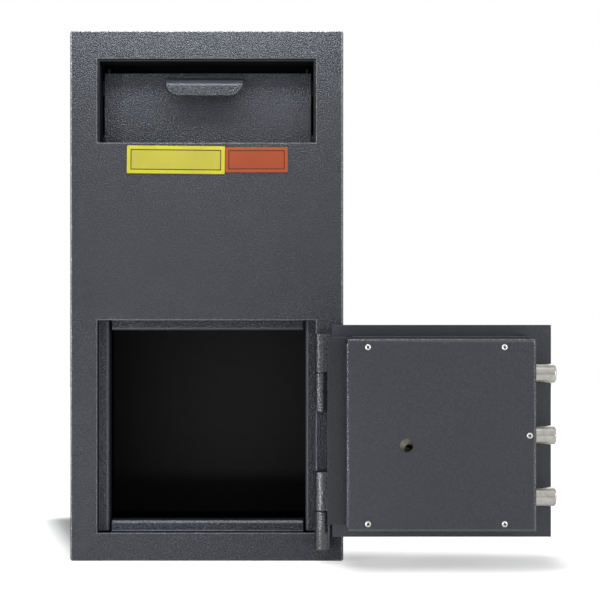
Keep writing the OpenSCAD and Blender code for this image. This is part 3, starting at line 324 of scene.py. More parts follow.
def mesh_from(form, touching=1e-7):
    """Turns a bmesh into a mesh, with corners that touch made one and its faces outwards"""
    bmesh.ops.remove_doubles(form, verts=form.verts, dist=touching)
    bmesh.ops.recalc_face_normals(form, faces=form.faces)
    mesh = bpy.data.meshes.new("form")
    form.to_mesh(mesh)
    form.free()
    return mesh


def joined(*meshes):
    """One mesh of several; each keeps its own material number"""
    form = bmesh.new()
    for number, mesh in enumerate(meshes):
        start = len(form.faces)
        form.from_mesh(mesh)
        form.faces.ensure_lookup_table()
        for face in form.faces[start:]:
            face.material_index = number
    made = bpy.data.meshes.new("joined")
    form.to_mesh(made)
    form.free()
    return made


def cut_away(mesh, *cutters, operation="DIFFERENCE"):
    """Takes the cutters' forms off a mesh, or joins them to it"""
    holder = holder_for(mesh)
    tools = [holder_for(mesh_from(form), "cutter") for form in cutters]
    for tool in tools:
        cut = holder.modifiers.new("cut", "BOOLEAN")
        cut.operation = operation
        cut.solver = "EXACT"
        cut.object = tool
    return evaluated_mesh(holder, *tools)


def box_form(low, high):
    """A block between two corners in millimetres, only ever used to cut with"""
    form = bmesh.new()
    bmesh.ops.create_cube(form, size=1.0)
    for v in form.verts:
        v.co = Vector([(c * (b - a) + (b + a) / 2) * MM for c, a, b in zip(v.co, low, high)])
    return form


def arc(centre, radius, start, end, steps):
    """Points round a centre, angles in degrees"""
    angles = [math.radians(start + (end - start) * i / steps) for i in range(steps + 1)]
    return [(centre[0] + radius * math.cos(a), centre[1] + radius * math.sin(a)) for a in angles]


def rounded_loop(half_w, half_h, radius, steps=4):
    """The points of a rounded rectangle about its middle"""
    points = []
    for turn, (a, b) in enumerate([(1, 1), (-1, 1), (-1, -1), (1, -1)]):
        middle = (a * (half_w - radius), b * (half_h - radius))
        points += arc(middle, radius, 90 * turn, 90 * (turn + 1), steps)
    return points


def fillet(points, radius, steps):
    """Rounds the corners of an open outline; a corner takes at most half of its shorter side"""
    made = [Vector(points[0])]
    for before, at, after in zip(points, points[1:], points[2:]):
        before, at, after = Vector(before), Vector(at), Vector(after)
        back, on = before - at, after - at
        reach = min(radius, back.length * 0.49, on.length * 0.49)
        start, end = at + back.normalized() * reach, at + on.normalized() * reach
        for i in range(steps + 1):
            t = i / steps
            made.append(start * (1 - t) ** 2 + at * 2 * t * (1 - t) + end * t ** 2)
    made.append(Vector(points[-1]))
    return made


def stacked(loops, marks=None):
    """A closed form through loops of equal numbers of points, in millimetres, capped at both ends.
    marks gives the material number of each band between two loops, then of the last cap"""
    form = bmesh.new()
    rings = [[form.verts.new(Vector(point) * MM) for point in loop] for loop in loops]
    form.faces.new(rings[0][::-1])
    last = form.faces.new(rings[-1])
    marks = marks or [0] * len(loops)
    last.material_index = marks[-1]
    for mark, first, second in zip(marks, rings, rings[1:]):
        for i in range(len(first)):
            j = (i + 1) % len(first)
            face = form.faces.new([first[i], first[j], second[j], second[i]])
            face.material_index = mark
    return form


def lathe(outline, centre, axis, steps, flutes=0, closed=False):
    """Turns an outline of (along, radius) about an axis through centre, all in millimetres.
    A third number in a point is the depth of the flutes there; closed joins its last point to its first"""
    form = bmesh.new()
    across = Vector((1, 0, 0)) if axis == 2 else Vector((0, 0, 1))
    along = Vector([1.0 if i == axis else 0.0 for i in range(3)])
    other = along.cross(across)
    rings = []
    for place, radius, *flute in outline:
        at = (Vector(centre) + along * place) * MM
        if radius < 1e-6:
            rings.append([form.verts.new(at)])
            continue
        ring = []
        for i in range(steps):
            turn = 2 * math.pi * i / steps
            depth = flute[0] * (0.5 + 0.5 * math.cos(flutes * turn)) ** 2 if flute else 0
            out = math.cos(turn) * across + math.sin(turn) * other
            ring.append(form.verts.new(at + (radius - depth) * MM * out))
        rings.append(ring)
    for first, second in zip(rings, rings[1:] + rings[:1] if closed else rings[1:]):
        for i in range(steps):
            j = (i + 1) % steps
            corners = [first[i % len(first)], first[j % len(first)]]
            corners += [second[j % len(second)], second[i % len(second)]]
            corners = list(dict.fromkeys(corners))
            if len(corners) > 2:
                form.faces.new(corners)
    return form


# Patterns that repeat, as Geometry Nodes

def start_tree(name, sizes, whole=()):
    """A tree with the points or lines as its first input, then its sizes and its finish"""
    tree = bpy.data.node_groups.new(name, "GeometryNodeTree")
    face = tree.interface
    face.new_socket("Geometry", in_out="INPUT", socket_type="NodeSocketGeometry")
    for size, value in sizes.items():
        kind = "NodeSocketInt" if size in whole else "NodeSocketFloat"
        face.new_socket(size, in_out="INPUT", socket_type=kind).default_value = value
    face.new_socket("Finish", in_out="INPUT", socket_type="NodeSocketMaterial")
    face.new_socket("Geometry", in_out="OUTPUT", socket_type="NodeSocketGeometry")
    return tree, add_node(tree, "NodeGroupInput").outputs


def end_tree(tree, given, geometry):
    """Realizes the instances, gives them the finish and ends the tree"""
    real = add_node(tree, "GeometryNodeRealizeInstances", None, {0: geometry})
    coated = add_node(tree, "GeometryNodeSetMaterial", None, {
        "Geometry": real.outputs[0], "Material": given["Finish"]})
    add_node(tree, "NodeGroupOutput", None, {0: coated.outputs[0]})
    return tree


def grown(tree, points, lines, finish_of):
    """Runs a tree at its own sizes on points and lines in millimetres, and gives a plain mesh"""
    seed = bpy.data.meshes.new("seed")
    seed.from_pydata([Vector(point) * MM for point in points], lines, [])
    holder = holder_for(seed)
    modifier = holder.modifiers.new("pattern", "NODES")
    modifier.node_group = tree
    for item in tree.interface.items_tree:
        if item.item_type == "SOCKET" and item.in_out == "INPUT" and item.name == "Finish":
            modifier[item.identifier] = finish_of
    return evaluated_mesh(holder)


def screw_tree():
    """A pan head with a cross recess and its shank on every point, facing the front.
    Each screw has stopped at its own angle"""
    tree, given = start_tree("pan_head_screws", {
        "head_radius": 4 * MM, "head_height": 2.6 * MM, "recess_length": 4.4 * MM, "recess_width": 1.5 * MM,
        "recess_depth": 1.5 * MM, "shank_radius": 2 * MM, "shank_length": 6 * MM})
    ball = add_node(tree, "GeometryNodeMeshUVSphere", None, {"Segments": 36, "Rings": 20, "Radius": 1.0})
    scale = add_node(tree, "ShaderNodeCombineXYZ", None, {
        0: given["head_radius"], 1: given["head_radius"], 2: given["head_height"]})
    dome = add_node(tree, "GeometryNodeTransform", None, {
        "Geometry": ball.outputs[0], "Scale": scale.outputs[0]})
    place = add_node(tree, "GeometryNodeInputPosition")
    parts = add_node(tree, "ShaderNodeSeparateXYZ", None, {0: place.outputs[0]})
    above = add_node(tree, "ShaderNodeMath", {"operation": "MAXIMUM"}, {0: parts.outputs[2], 1: 0.0})
    flat = add_node(tree, "ShaderNodeCombineXYZ", None, {
        0: parts.outputs[0], 1: parts.outputs[1], 2: above.outputs[0]})
    head = add_node(tree, "GeometryNodeSetPosition", None, {
        "Geometry": dome.outputs[0], "Position": flat.outputs[0]})
    twice = add_node(tree, "ShaderNodeMath", {"operation": "MULTIPLY"}, {0: given["recess_depth"], 1: 2.0})
    lift = add_node(tree, "ShaderNodeCombineXYZ", None, {2: given["head_height"]})
    bars = []
    for first, second in (("recess_length", "recess_width"), ("recess_width", "recess_length")):
        size = add_node(tree, "ShaderNodeCombineXYZ", None, {
            0: given[first], 1: given[second], 2: twice.outputs[0]})
        bar = add_node(tree, "GeometryNodeMeshCube", None, {"Size": size.outputs[0]})
        bars.append(add_node(tree, "GeometryNodeTransform", None, {
            "Geometry": bar.outputs[0], "Translation": lift.outputs[0]}).outputs[0])
    cut = add_node(tree, "GeometryNodeMeshBoolean", {"operation": "DIFFERENCE", "solver": "EXACT"}, {
        0: head.outputs[0], 1: bars})
    shank = add_node(tree, "GeometryNodeMeshCylinder", None, {
        "Vertices": 16, "Radius": given["shank_radius"], "Depth": given["shank_length"]})
    half = add_node(tree, "ShaderNodeMath", {"operation": "MULTIPLY"}, {0: given["shank_length"], 1: -0.5})
    down = add_node(tree, "ShaderNodeCombineXYZ", None, {2: half.outputs[0]})
    sunk = add_node(tree, "GeometryNodeTransform", None, {
        "Geometry": shank.outputs[0], "Translation": down.outputs[0]})
    screw = add_node(tree, "GeometryNodeJoinGeometry", None, {0: [cut.outputs[0], sunk.outputs[0]]})
    placed = add_node(tree, "GeometryNodeInstanceOnPoints", None, {
        "Points": given["Geometry"], "Instance": screw.outputs[0], "Rotation": (math.radians(90), 0, 0)})
    stop = add_node(tree, "FunctionNodeRandomValue", None, {2: 0.0, 3: math.radians(90), "Seed": 7})
    spin = add_node(tree, "ShaderNodeCombineXYZ", None, {2: stop.outputs[1]})
    turned = add_node(tree, "GeometryNodeRotateInstances", None, {
        "Instances": placed.outputs[0], "Rotation": spin.outputs[0]})
    return end_tree(tree, given, turned.outputs[0])


def weld_tree():
    """A weld bead along every line: a low round seam with the ripples of its passes"""
    tree, given = start_tree("weld_beads", {"bead": 2.2 * MM, "ripple": 1.8 * MM, "swell": 0.16})
    path = add_node(tree, "GeometryNodeMeshToCurve", None, {0: given["Geometry"]})
    sixth = add_node(tree, "ShaderNodeMath", {"operation": "DIVIDE"}, {0: given["ripple"], 1: 6.0})
    fine = add_node(tree, "GeometryNodeResampleCurve", {"mode": "LENGTH"}, {
        "Curve": path.outputs[0], "Length": sixth.outputs[0]})
    reach = add_node(tree, "GeometryNodeSplineParameter").outputs["Length"]
    turns = add_node(tree, "ShaderNodeMath", {"operation": "DIVIDE"}, {0: reach, 1: given["ripple"]})
    angle = add_node(tree, "ShaderNodeMath", {"operation": "MULTIPLY"}, {
        0: turns.outputs[0], 1: 2 * math.pi})
    wave = add_node(tree, "ShaderNodeMath", {"operation": "SINE"}, {0: angle.outputs[0]})
    size = add_node(tree, "ShaderNodeMath", {"operation": "MULTIPLY_ADD"}, {
        0: wave.outputs[0], 1: given["swell"], 2: 1.0})
    outline = add_node(tree, "GeometryNodeCurvePrimitiveCircle", None, {
        "Resolution": 10, "Radius": given["bead"]})
    seam = add_node(tree, "GeometryNodeCurveToMesh", None, {
        "Curve": fine.outputs[0], "Profile Curve": outline.outputs[0], "Scale": size.outputs[0],
        "Fill Caps": True})
    return end_tree(tree, given, seam.outputs[0])


def dial_tree():
    """The dial's graduations: short bars on its bevel, longer at each fifth and longest at each tenth"""
    tree, given = start_tree("dial_graduations", {
        "count": 100, "radius": 35 * MM, "length": 6 * MM, "width": 0.5 * MM, "height": 0.3 * MM,
        "slope": math.atan2(5, 6)}, whole=("count",))
    ring = add_node(tree, "GeometryNodeMeshCircle", None, {
        "Vertices": given["count"], "Radius": given["radius"]})
    size = add_node(tree, "ShaderNodeCombineXYZ", None, {
        0: given["length"], 1: given["width"], 2: given["height"]})
    bar = add_node(tree, "GeometryNodeMeshCube", None, {"Size": size.outputs[0]})
    index = add_node(tree, "GeometryNodeInputIndex").outputs[0]
    stretch = 0.5
    for every, more in ((5, 0.2), (10, 0.3)):
        left = add_node(tree, "ShaderNodeMath", {"operation": "MODULO"}, {0: index, 1: every})
        hit = add_node(tree, "ShaderNodeMath", {"operation": "LESS_THAN"}, {0: left.outputs[0], 1: 0.5})
        stretch = add_node(tree, "ShaderNodeMath", {"operation": "MULTIPLY_ADD"}, {
            0: hit.outputs[0], 1: more, 2: stretch}).outputs[0]
    scale = add_node(tree, "ShaderNodeCombineXYZ", None, {0: stretch, 1: 1.0, 2: 1.0})
    share = add_node(tree, "ShaderNodeMath", {"operation": "DIVIDE"}, {0: index, 1: given["count"]})
    angle = add_node(tree, "ShaderNodeMath", {"operation": "MULTIPLY"}, {
        0: share.outputs[0], 1: 2 * math.pi})
    turn = add_node(tree, "ShaderNodeCombineXYZ", None, {1: given["slope"], 2: angle.outputs[0]})
    placed = add_node(tree, "GeometryNodeInstanceOnPoints", None, {
        "Points": ring.outputs[0], "Instance": bar.outputs[0], "Rotation": turn.outputs[0],
        "Scale": scale.outputs[0]})
    return end_tree(tree, given, placed.outputs[0])


# Studio

def stand_camera():
    """The picture's own view: level and square to the front"""
    data = bpy.data.cameras.new("front_camera")
    data.lens = LENS
    data.sensor_width = SENSOR
    camera = bpy.data.objects.new("front_camera", data)
    camera.location = CAMERA_AT
    camera.rotation_euler = (math.radians(90), 0, 0)
    bpy.context.scene.collection.objects.link(camera)
    bpy.context.scene.camera = camera


def seen_directly(tree):
    """1 for what the camera, a mirror or a pane sees, 0 for what only lights the object"""
    path = add_node(tree, "ShaderNodeLightPath")
    seen = add_node(tree, "ShaderNodeMath", {"operation": "ADD"}, {
        0: path.outputs["Is Camera Ray"], 1: path.outputs["Is Glossy Ray"]})
    made = add_node(tree, "ShaderNodeMath", {"operation": "ADD", "use_clamp": True}, {
        0: seen.outputs[0], 1: path.outputs["Is Transmission Ray"]})
    return made.outputs[0]


def white_surroundings(lighting=0.22):
    """White to the eye, and a soft even light on the object"""
    world = bpy.data.worlds.new("studio_white")
    bpy.context.scene.world = world
    world.use_nodes = True
    tree = world.node_tree
    tree.nodes.clear()
    strength = add_node(tree, "ShaderNodeMapRange", None, {
        "Value": seen_directly(tree), "To Min": lighting})
    back = add_node(tree, "ShaderNodeBackground", None, {
        "Color": (1, 1, 1, 1), "Strength": strength.outputs[0]})
    add_node(tree, "ShaderNodeOutputWorld", None, {"Surface": back.outputs[0]})


# The share of the light on it that the floor gives back
FLOOR_WHITE = 0.75
# Where the floor glows less, so that shadow shows: (centre, turn, half size, fade, glow left), in metres.
# Round the object, at the cabinet's foot, and under the open door. The boxes at the foot and under the door
# are fitted to the shadow's outline, so their dip in glow partly paints that shadow
FLOOR_SHADES = (
    ((0.12, 0, 0), 0.0, (0.3, 0.3, 0), 0.5, 0.85),
    ((-0.0775, 0.026, 0), -0.33, (0.12, 0.1355, 0), 0.055, 0.0),
    ((0.315, -0.185, 0), 0.0, (0.115, 0.02, 0), 0.075, 0.3),
)


def distance_from(tree, place, centre, half):
    """How far a point of the floor lies from a box on it"""
    nought = (0, 0, 0)
    for operation, other in (
        ("SUBTRACT", centre), ("ABSOLUTE", nought), ("SUBTRACT", half), ("MAXIMUM", nought),
    ):
        place = add_node(tree, "ShaderNodeVectorMath", {"operation": operation}, {
            0: place, 1: other}).outputs[0]
    return add_node(tree, "ShaderNodeVectorMath", {"operation": "LENGTH"}, {0: place}).outputs["Value"]


def pale_floor(size=6.0):
    """A matt white floor that keeps the shadow; a glow that only the eye sees lifts it to white"""
    form = bmesh.new()
    bmesh.ops.create_grid(form, x_segments=1, y_segments=1, size=size / 2)
    mesh = bpy.data.meshes.new("floor")
    form.to_mesh(mesh)
    form.free()
    floor = holder_for(mesh, "floor")
    material = bpy.data.materials.new("matt_white_floor")
    material.use_nodes = True
    tree = material.node_tree
    tree.nodes.clear()
    place = add_node(tree, "ShaderNodeTexCoord").outputs["Object"]
    strength = seen_directly(tree)
    for centre, turn, half, fade, low in FLOOR_SHADES:
        turned = add_node(tree, "ShaderNodeVectorRotate", {"rotation_type": "Z_AXIS"}, {
            "Vector": place, "Center": centre, "Angle": turn}).outputs[0]
        away = distance_from(tree, turned, centre, half)
        level = add_node(tree, "ShaderNodeMapRange", {"interpolation_type": "SMOOTHSTEP"}, {
            "Value": away, "From Min": 0.0, "From Max": fade, "To Min": low})
        strength = add_node(tree, "ShaderNodeMath", {"operation": "MULTIPLY"}, {
            0: strength, 1: level.outputs[0]}).outputs[0]
    matt = add_node(tree, "ShaderNodeBsdfDiffuse", None, {"Color": (*[FLOOR_WHITE] * 3, 1)})
    light = add_node(tree, "ShaderNodeEmission", None, {"Color": (1, 1, 1, 1), "Strength": strength})
    both = add_node(tree, "ShaderNodeAddShader", None, {0: matt.outputs[0], 1: light.outputs[0]})
    add_node(tree, "ShaderNodeOutputMaterial", None, {"Surface": both.outputs[0]})
    mesh.materials.append(material)


def soft_box(name, place, target, size, power):
    """A rectangular soft box of width and height size, turned to its target"""
    data = bpy.data.lights.new(name, "AREA")
    data.shape = "RECTANGLE"
    data.size, data.size_y = size
    data.energy = power
    lamp = bpy.data.objects.new(name, data)
    lamp.location = place
    lamp.rotation_euler = (Vector(target) - Vector(place)).to_track_quat("-Z", "Y").to_euler()
    bpy.context.scene.collection.objects.link(lamp)


bpy.context.scene.view_settings.view_transform = "Standard"
stand_camera()
white_surroundings()
pale_floor()
soft_box("key_box", (0.95, -1.3, 1.25), (0.15, -0.2, 0.3), (2.0, 2.0), 4.6)
soft_box("top_box", (0.0, -0.62, 1.1), (0.0, -0.2, 0.55), (1.2, 0.45), 1.7)
soft_box("grazing_box", (-0.01, -0.235, 0.75), (-0.01, -0.2, 0.3), (0.42, 0.03), 1.05)
soft_box("low_strip", (-0.19, -0.6, 0.035), (-0.25, -0.18, 0.14), (0.4, 0.03), 1.2)
soft_box("left_strip", (-1.15, -0.95, 0.5), (0.1, -0.2, 0.4), (0.05, 1.1), 8.2)
soft_box("right_strip", (1.25, -0.95, 0.45), (0.0, -0.2, 0.45), (0.04, 1.2), 5)
soft_box("back_box", (0.9, 2.0, 1.9), (0.1, 0.1, 0.3), (2.6, 2.2), 34)


# Cabinet and drawer sheets: the CAD shapes with their edges rounded as pressed and ground sheet

# Just outside the inner faces of the cabinet's walls, in millimetres
CAVITY = ((-174.2, -176.0, 3.2), (174.2, 174.8, 684.8))
# Past these, a rounded edge is one of the cabinet's own long outer ones
OUTER_X = 172 * MM
OUTER_Z = 682 * MM
# A face whose normal lies this close to an axis is flat sheet, and the rest is a bend or an edge
FLAT_SHEET = 0.98
# A rounded face whose normal has less than this in y looks to the front
TO_THE_FRONT = -0.8
# The material numbers of a coated sheet: the full coat, the edges' painted highlight, the inside's painted
# shade and the front outer corners' painted highlight
ALL_OVER, OVER_EDGES, INSIDE, PAINTED_RIM_HIGHLIGHT = range(4)


def coated_sheet(node, edge, edge_coat, wall=False):
    """Sheet under the full coat, with a paler coat over its rounded edges as a painted highlight; on a wall
    of the cabinet, what faces the inside takes the nearly black coat as painted shade, and the long outer
    corners that face the front a pale, glossy coat as a painted highlight"""
    mesh = finished_mesh(merged_copy(node), edge)
    for face in mesh.polygons:
        spot = (face.center + face.normal * MM) / MM
        if wall and all(a < c < b for a, c, b in zip(CAVITY[0], spot, CAVITY[1])):
            face.material_index = INSIDE
        elif max(abs(n) for n in face.normal) > FLAT_SHEET:
            face.material_index = ALL_OVER
        elif wall and (abs(face.center.x) > OUTER_X or face.center.z > OUTER_Z):
            face.material_index = PAINTED_RIM_HIGHLIGHT if face.normal.y < TO_THE_FRONT else ALL_OVER
        else:
            face.material_index = OVER_EDGES
    add_piece(node + "_piece", mesh, node, COAT, edge_coat, *([INNER_SHADE_COAT, RIM_HIGHLIGHT_COAT] if wall else []))


for node, edge in {"cabinet_wrapper": 0.6, "front_panel": 1.5, "back_panel": 0.8}.items():
    coated_sheet(node, edge * MM, EDGE_HIGHLIGHT_COAT, True)
# On the jambs and the drawer front, the rounded edges take the paler fine coat: a painted highlight along
# each edge
for node, edge in {
    "jamb_strike_side": 0.8, "jamb_hinge_side": 0.8, "jamb_top": 0.7, "drawer_front": 0.7,
}.items():
    coated_sheet(node, edge * MM, DOOR_COAT)
# The bottom jamb's edges take the pale edge coat: a painted highlight along them
coated_sheet("jamb_bottom", 0.9 * MM, EDGE_HIGHLIGHT_COAT)
# The drawer's recess, chute, baffle, cheeks and shield in the nearly black inner coat: painted shade of the
# deep recess
for node in ("hopper_frame", "chute_hood", "chute_sill", "anti_fish_baffle",
             "drawer_cheek_left", "drawer_cheek_right", "drawer_shield"):
    edged(node, 0.4 * MM, INNER_SHADE_COAT)
edged("drawer_stops", 0.8 * MM, RUBBER)


# Label plates: thin plates with one printed line round the edge

FRONT_Y = -178.0
LABEL_T = 0.5
LABEL_EDGE = 0.12
LABEL_CORNER = 1.0
TIGHTEST_CORNER = 0.25


def label(node, centre, size, tilt, margin, line, *finishes):
    """A bare plate with its line; tilt is the degrees that it was stuck on askew"""
    loops = []
    for y, inset in (
        (0, 0), (LABEL_T - LABEL_EDGE, 0), (LABEL_T, LABEL_EDGE),
        (LABEL_T, margin), (LABEL_T, margin + line),
    ):
        corner = max(LABEL_CORNER - inset, TIGHTEST_CORNER)
        loop = rounded_loop(size[0] / 2 - inset, size[1] / 2 - inset, corner)
        loops.append([(u, FRONT_Y - y, v) for u, v in loop])
    turn = Matrix.Rotation(math.radians(tilt), 3, "Y")
    middle = Vector((centre[0], 0, centre[1]))
    loops = [[turn @ Vector(point) + middle for point in loop] for loop in loops]
    mesh = mesh_from(stacked(loops, [0, 0, 0, 1, 2]))
    add_piece(node + "_piece", mesh, node, *finishes)


label("label_yellow", (-39.9, 520.8), (127, 36), 0.6, 4.6, 1.4, YELLOW_INK, YELLOW_LINE, YELLOW_FIELD)
label("label_orange", (64.8, 520.8), (81, 32.6), 0, 3.8, 1.3, ORANGE_INK, ORANGE_LINE, ORANGE_FIELD)


# The drawer's pull: one sheet bent twice, its lower corners cut round

# How far up a face of the pull looks: past the first it is the bend's flank, past the second its top
BEND_FLANK = 0.25
BEND_TOP = 0.75


def pull_mesh(low_x, high_x, corner=17.0, bend=4.5):
    """The sheet as loops across it, from its rounded lower edge up to the panel.
    outer and inner are the sheet's two sides, as points (y, z)"""
    outer = fillet([(-173, 605), (-173, 620), (-158, 630), (-158, 634)], bend, 6)
    inner = fillet([(-171, 605), (-171, 619), (-156, 628), (-156, 634)], bend, 6)
    pairs = [(outer[0].lerp(outer[1], t / 12), inner[0].lerp(inner[1], t / 12)) for t in range(12)]
    pairs += list(zip(outer[1:], inner[1:]))
    loops = []
    run = 0.0
    for i, (out, back) in enumerate(pairs):
        run += (out - pairs[i - 1][0]).length if i else 0.0
        short = corner - math.sqrt(corner ** 2 - max(corner - run, 0.0) ** 2)
        a, b = low_x + short, high_x - short
        loops.append([(a, *out), (b, *out), (b, *back), (a, *back)])
    mesh = finished_mesh(mesh_from(stacked(loops)), 0.35 * MM, 2)
    # Faces that look up take the paler fine coat on the bend's flanks and the glossy coat on the slope: a
    # painted highlight where light from above falls
    for face in mesh.polygons:
        if face.normal.y < 0 and face.normal.z > BEND_FLANK:
            face.material_index = 2 if face.normal.z > BEND_TOP else 1
    return mesh


add_piece("drawer_pull_piece", pull_mesh(-53.5, 46.5), "drawer_pull", COAT, DOOR_COAT, BARREL_COAT)


# Door plate, its frame and hinge knuckles, with the weld beads that hold the knuckles

for node, edge in {"door_plate": 0.9, "boltwork_frame": 0.5}.items():
    edged(node, edge * MM, DOOR_COAT)
# The dead bar in the darker coat: painted shade of the cover's shadow along it
edged("dead_bar", 0.7 * MM, DEAD_BAR_SHADE_COAT)
for node in ("fixed_knuckle_upper", "fixed_knuckle_lower", "door_knuckle_upper", "door_knuckle_lower"):
    edged(node, 0.8 * MM, BARREL_COAT)

WELDS = weld_tree()
# Each seam's place is its x and y, and each bead on it spans two heights
FIXED_SEAM = (157.5, -178)
LEAF_SEAM = (188.5, -200)
for name, node, seam, spans in (
    ("fixed_knuckle_welds", "fixed_knuckle_upper", FIXED_SEAM, ((22, 63), (199.5, 240.5))),
    ("door_knuckle_welds", "door_knuckle_upper", LEAF_SEAM, ((73, 114), (250.5, 291.5))),
):
    ends = [(*seam, z) for span in spans for z in span]
    bead = grown(WELDS, ends, [(0, 1), (2, 3)], COAT)
    add_piece(name, finished_mesh(bead), node, COAT, extra=True)


# Boltwork cover: its two hinge-side corners are relieved where the bends end

def cover_mesh(notch=6.4):
    """The cover's own shape less a small notch at each end of its hinge-side edge"""
    notches = [box_form((177.0, -268, low), (180.0, -246, low + notch)) for low in (285.4, 53.2)]
    return cut_away(merged_copy("boltwork_cover"), *notches)


cover = finished_mesh(cover_mesh(), 0.35 * MM)
for face in cover.polygons:
    face.material_index = 1 if max(abs(n) for n in face.normal) < FLAT_SHEET else 0
add_piece("boltwork_cover_piece", cover, "boltwork_cover", DOOR_COAT, BARREL_COAT)
COVER_FACE = -266.7
# What lies within these of a screw's middle and of the cover's face is the inside of its recess, given the
# blacked finish as painted shade
RECESS_REACH = 2.6
RECESS_DEEP = 1.7
screw_spots = [(x, COVER_FACE, z) for x in (204.6, 372.2) for z in (64.1, 280.9)]
screw_spots.append((402.9, COVER_FACE, 172.5))
screws = finished_mesh(grown(screw_tree(), screw_spots, [], ZINC))
# The recess faces take the blacked finish: painted shade inside each cross recess
for face in screws.polygons:
    spot = face.center / MM
    reach = min(math.hypot(spot.x - x, spot.z - z) for x, _, z in screw_spots)
    inside = COVER_FACE - RECESS_DEEP < spot.y < COVER_FACE
    face.material_index = 1 if reach < RECESS_REACH and (inside or abs(face.normal.y) < 0.5) else 0
add_piece("cover_screws_piece", screws, "cover_screws", ZINC, BLACKED)
edged("lock_cover", 0.35 * MM, DIE_CAST)
edged("lock_case", 0.5 * MM, DIE_CAST)
edged("bolt_carrier", 0.4 * MM, ZINC)
edged("bolt_guide_bar", 0.5 * MM, MILLED)
edged("relocker", 0.4 * MM, ZINC)


# Locking bolts: turned bar with a rounded nose and the lathe centre's dimple, milled flat for the carrier

BOLT_R = 12.0
BOLT_Y = -249
BOLT_START = 350
BOLT_END = 437.5
BOLT_NOSE = 2.5
BOLT_CHAMFER = 0.6
DIMPLE_R = 2.0
DIMPLE_DEEP = 1.2
FLAT_Y = -238.5
FLAT_END = 395.0
# Two rings of points this far apart make the step at the end of the flat
STEP = 0.01
for node, z in (("bolt_lower", 95.2), ("bolt_middle", 171.5), ("bolt_upper", 247.8)):
    outline = [(BOLT_START, 0), (BOLT_START, BOLT_R - BOLT_CHAMFER), (BOLT_START + BOLT_CHAMFER, BOLT_R)]
    outline += [(FLAT_END - STEP, BOLT_R), (FLAT_END, BOLT_R)]
    outline += [(a, r) for r, a in arc((BOLT_R - BOLT_NOSE, BOLT_END - BOLT_NOSE), BOLT_NOSE, 0, 90, 6)]
    outline += [(BOLT_END, DIMPLE_R), (BOLT_END - DIMPLE_DEEP, 0)]
    form = lathe(outline, (0, BOLT_Y, z), 0, 96)
    for v in form.verts:
        if v.co.x < (FLAT_END - STEP / 2) * MM:
            v.co.y = min(v.co.y, FLAT_Y * MM)
    add_piece(node + "_piece", finished_mesh(mesh_from(form)), node, STAINLESS)


# Dial and its ring, on the door's outer face

DIAL_X = 268
DIAL_Z = 172.5
DIAL_FACE = -186.5
DIAL_PLACE = Matrix((
    (-1, 0, 0, DIAL_X * MM), (0, 0, 1, DIAL_FACE * MM), (0, 1, 0, DIAL_Z * MM), (0, 0, 0, 1)))

ring = lathe([
    (-200, 4.2), (-200, 45.5), (-199.5, 46), (-197.5, 46), (-195.3, 43.8), (-195, 43.2), (-195, 40.2),
    (-195.6, 39.6), (-195.6, 4.2)], (DIAL_X, 0, DIAL_Z), 1, 96, closed=True)
index_mark = stacked([
    [(DIAL_X + u, y, DIAL_Z + v) for u, v in ((-1.6, 43.2), (1.6, 43.2), (0, 40.3))]
    for y in (-195.2, -194.9)])
add_piece("dial_ring_piece", joined(finished_mesh(mesh_from(ring)), mesh_from(index_mark)),
          "dial_ring", NYLON, DIAL_INK)

# How deep the knob's flutes are, along it and at its rounded end
KNOB_FLUTE = 1.5
FLUTE_END = 0.6
dial_form = lathe([
    (-194.5, 0), (-194.5, 37.4), (-194.1, 38), (-191.7, 38), (-191.3, 37.7), (-186.7, 32.2), (-186.5, 31.8),
    (-186.5, 21), (-186.1, 19.8), (-185.4, 19), (-183.5, 19), (-182.5, 19, KNOB_FLUTE),
    (-167.2, 18.6, KNOB_FLUTE), (-165.4, 17.6, FLUTE_END), (-164.7, 16.2), (-164.5, 14.6), (-164.5, 13.5),
    (-165.1, 12.8), (-165.3, 0)],
    (DIAL_X, 0, DIAL_Z), 1, 192, flutes=24)
BEVEL_MIDDLE = -2.5
marks = grown(dial_tree(), [(0, 0, 0)], [], DIAL_INK)
marks.transform(DIAL_PLACE @ Matrix.Translation((0, 0, BEVEL_MIDDLE * MM)))


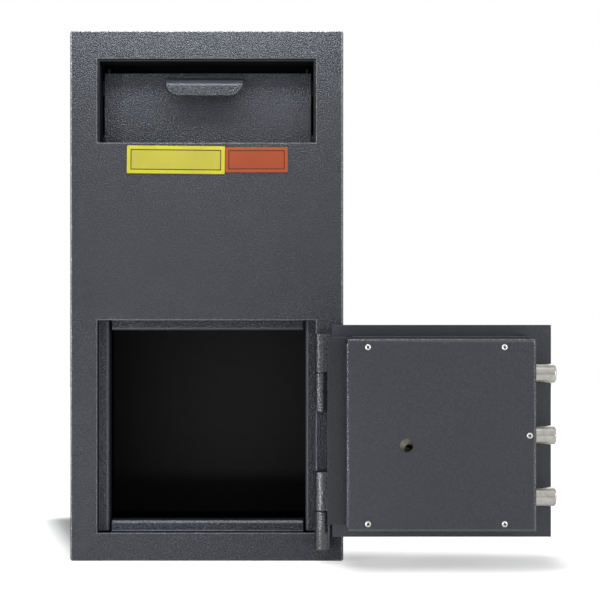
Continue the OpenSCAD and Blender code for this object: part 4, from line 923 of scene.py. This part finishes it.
def dial_numbers(count=10, radius=26.6, height=5.4, raised=0.06):
    """The plain numbers 0 to 90, upright at the top of the dial as it comes round"""
    meshes = []
    for i in range(count):
        text = bpy.data.curves.new("number", "FONT")
        text.body = str(i * 10)
        text.size = height * MM
        text.extrude = raised * MM
        text.align_x = "CENTER"
        text.align_y = "CENTER"
        number = evaluated_mesh(holder_for(text, "number"))
        turn = 2 * math.pi * i / count
        spot = Matrix.Translation((radius * MM * math.sin(turn), radius * MM * math.cos(turn), 0))
        number.transform(DIAL_PLACE @ spot @ Matrix.Rotation(-turn, 4, "Z"))
        meshes.append(number)
    form = bmesh.new()
    for mesh in meshes:
        form.from_mesh(mesh)
    return mesh_from(form)


white = bmesh.new()
white.from_mesh(marks)
white.from_mesh(dial_numbers())
dial_mesh = joined(finished_mesh(mesh_from(dial_form)), mesh_from(white))
add_piece("dial_piece", dial_mesh, "dial", NYLON, DIAL_INK)


# Lever handle and its bushing

HANDLE_X = 350
TIP_X = 417.6
TIP_R = 7.4
hub = lathe([
    (-195.5, 0), (-195.5, 15.3), (-194.8, 16), (-190.2, 16), (-189.8, 15.3), (-188.9, 15.3), (-188.5, 16),
    (-173, 16), (-171, 15.2), (-169.9, 13.4), (-169.5, 10.5), (-169.5, 0)], (HANDLE_X, 0, DIAL_Z), 1, 96)
tip = [(a, r) for r, a in arc((0, TIP_X), TIP_R, 0, 90, 8)]
lever = lathe([
    (352, 0), (352, 7.4), (363, 7.45), (366, 7.4), (369, 7.0), (374, 6.5), (384, 6.3), (396, 6.6),
    (408, 7.2), *tip], (0, -177, DIAL_Z), 0, 64)
lever_mesh = cut_away(mesh_from(hub), lever, operation="UNION")
add_piece("handle_lever_piece", finished_mesh(lever_mesh, corner=50), "handle_lever", CHROMED)
bushing = lathe([
    (-200, 6.3), (-200, 19.6), (-199.6, 20), (-197.4, 20), (-196.2, 18.6), (-196, 18), (-196, 6.3)],
    (HANDLE_X, 0, DIAL_Z), 1, 96, closed=True)
add_piece("handle_bushing_piece", finished_mesh(mesh_from(bushing)), "handle_bushing", CHROMED)


# The CAD nodes that no piece stands for keep their shape: each gets its slot's finish or its own

SLOT_FINISH = {"zinc_plate": ZINC, "plain_steel": MILLED, "bright_steel": CHROMED, "brass": BRASS}
NODE_FINISH = {
    "hinge_pin_upper": BLACKED, "hinge_pin_lower": BLACKED, "hinge_washers": BLACKED,
    "drawer_pivot_pins": BLACKED, "lock_wheels": GREASED, "drive_cam": GREASED, "dial_spindle": GREASED,
}
for node, part in NODES.items():
    if part.hide_render:
        continue
    part.data.materials.clear()
    part.data.materials.append(NODE_FINISH.get(node, SLOT_FINISH[SLOT_OF[node]]))
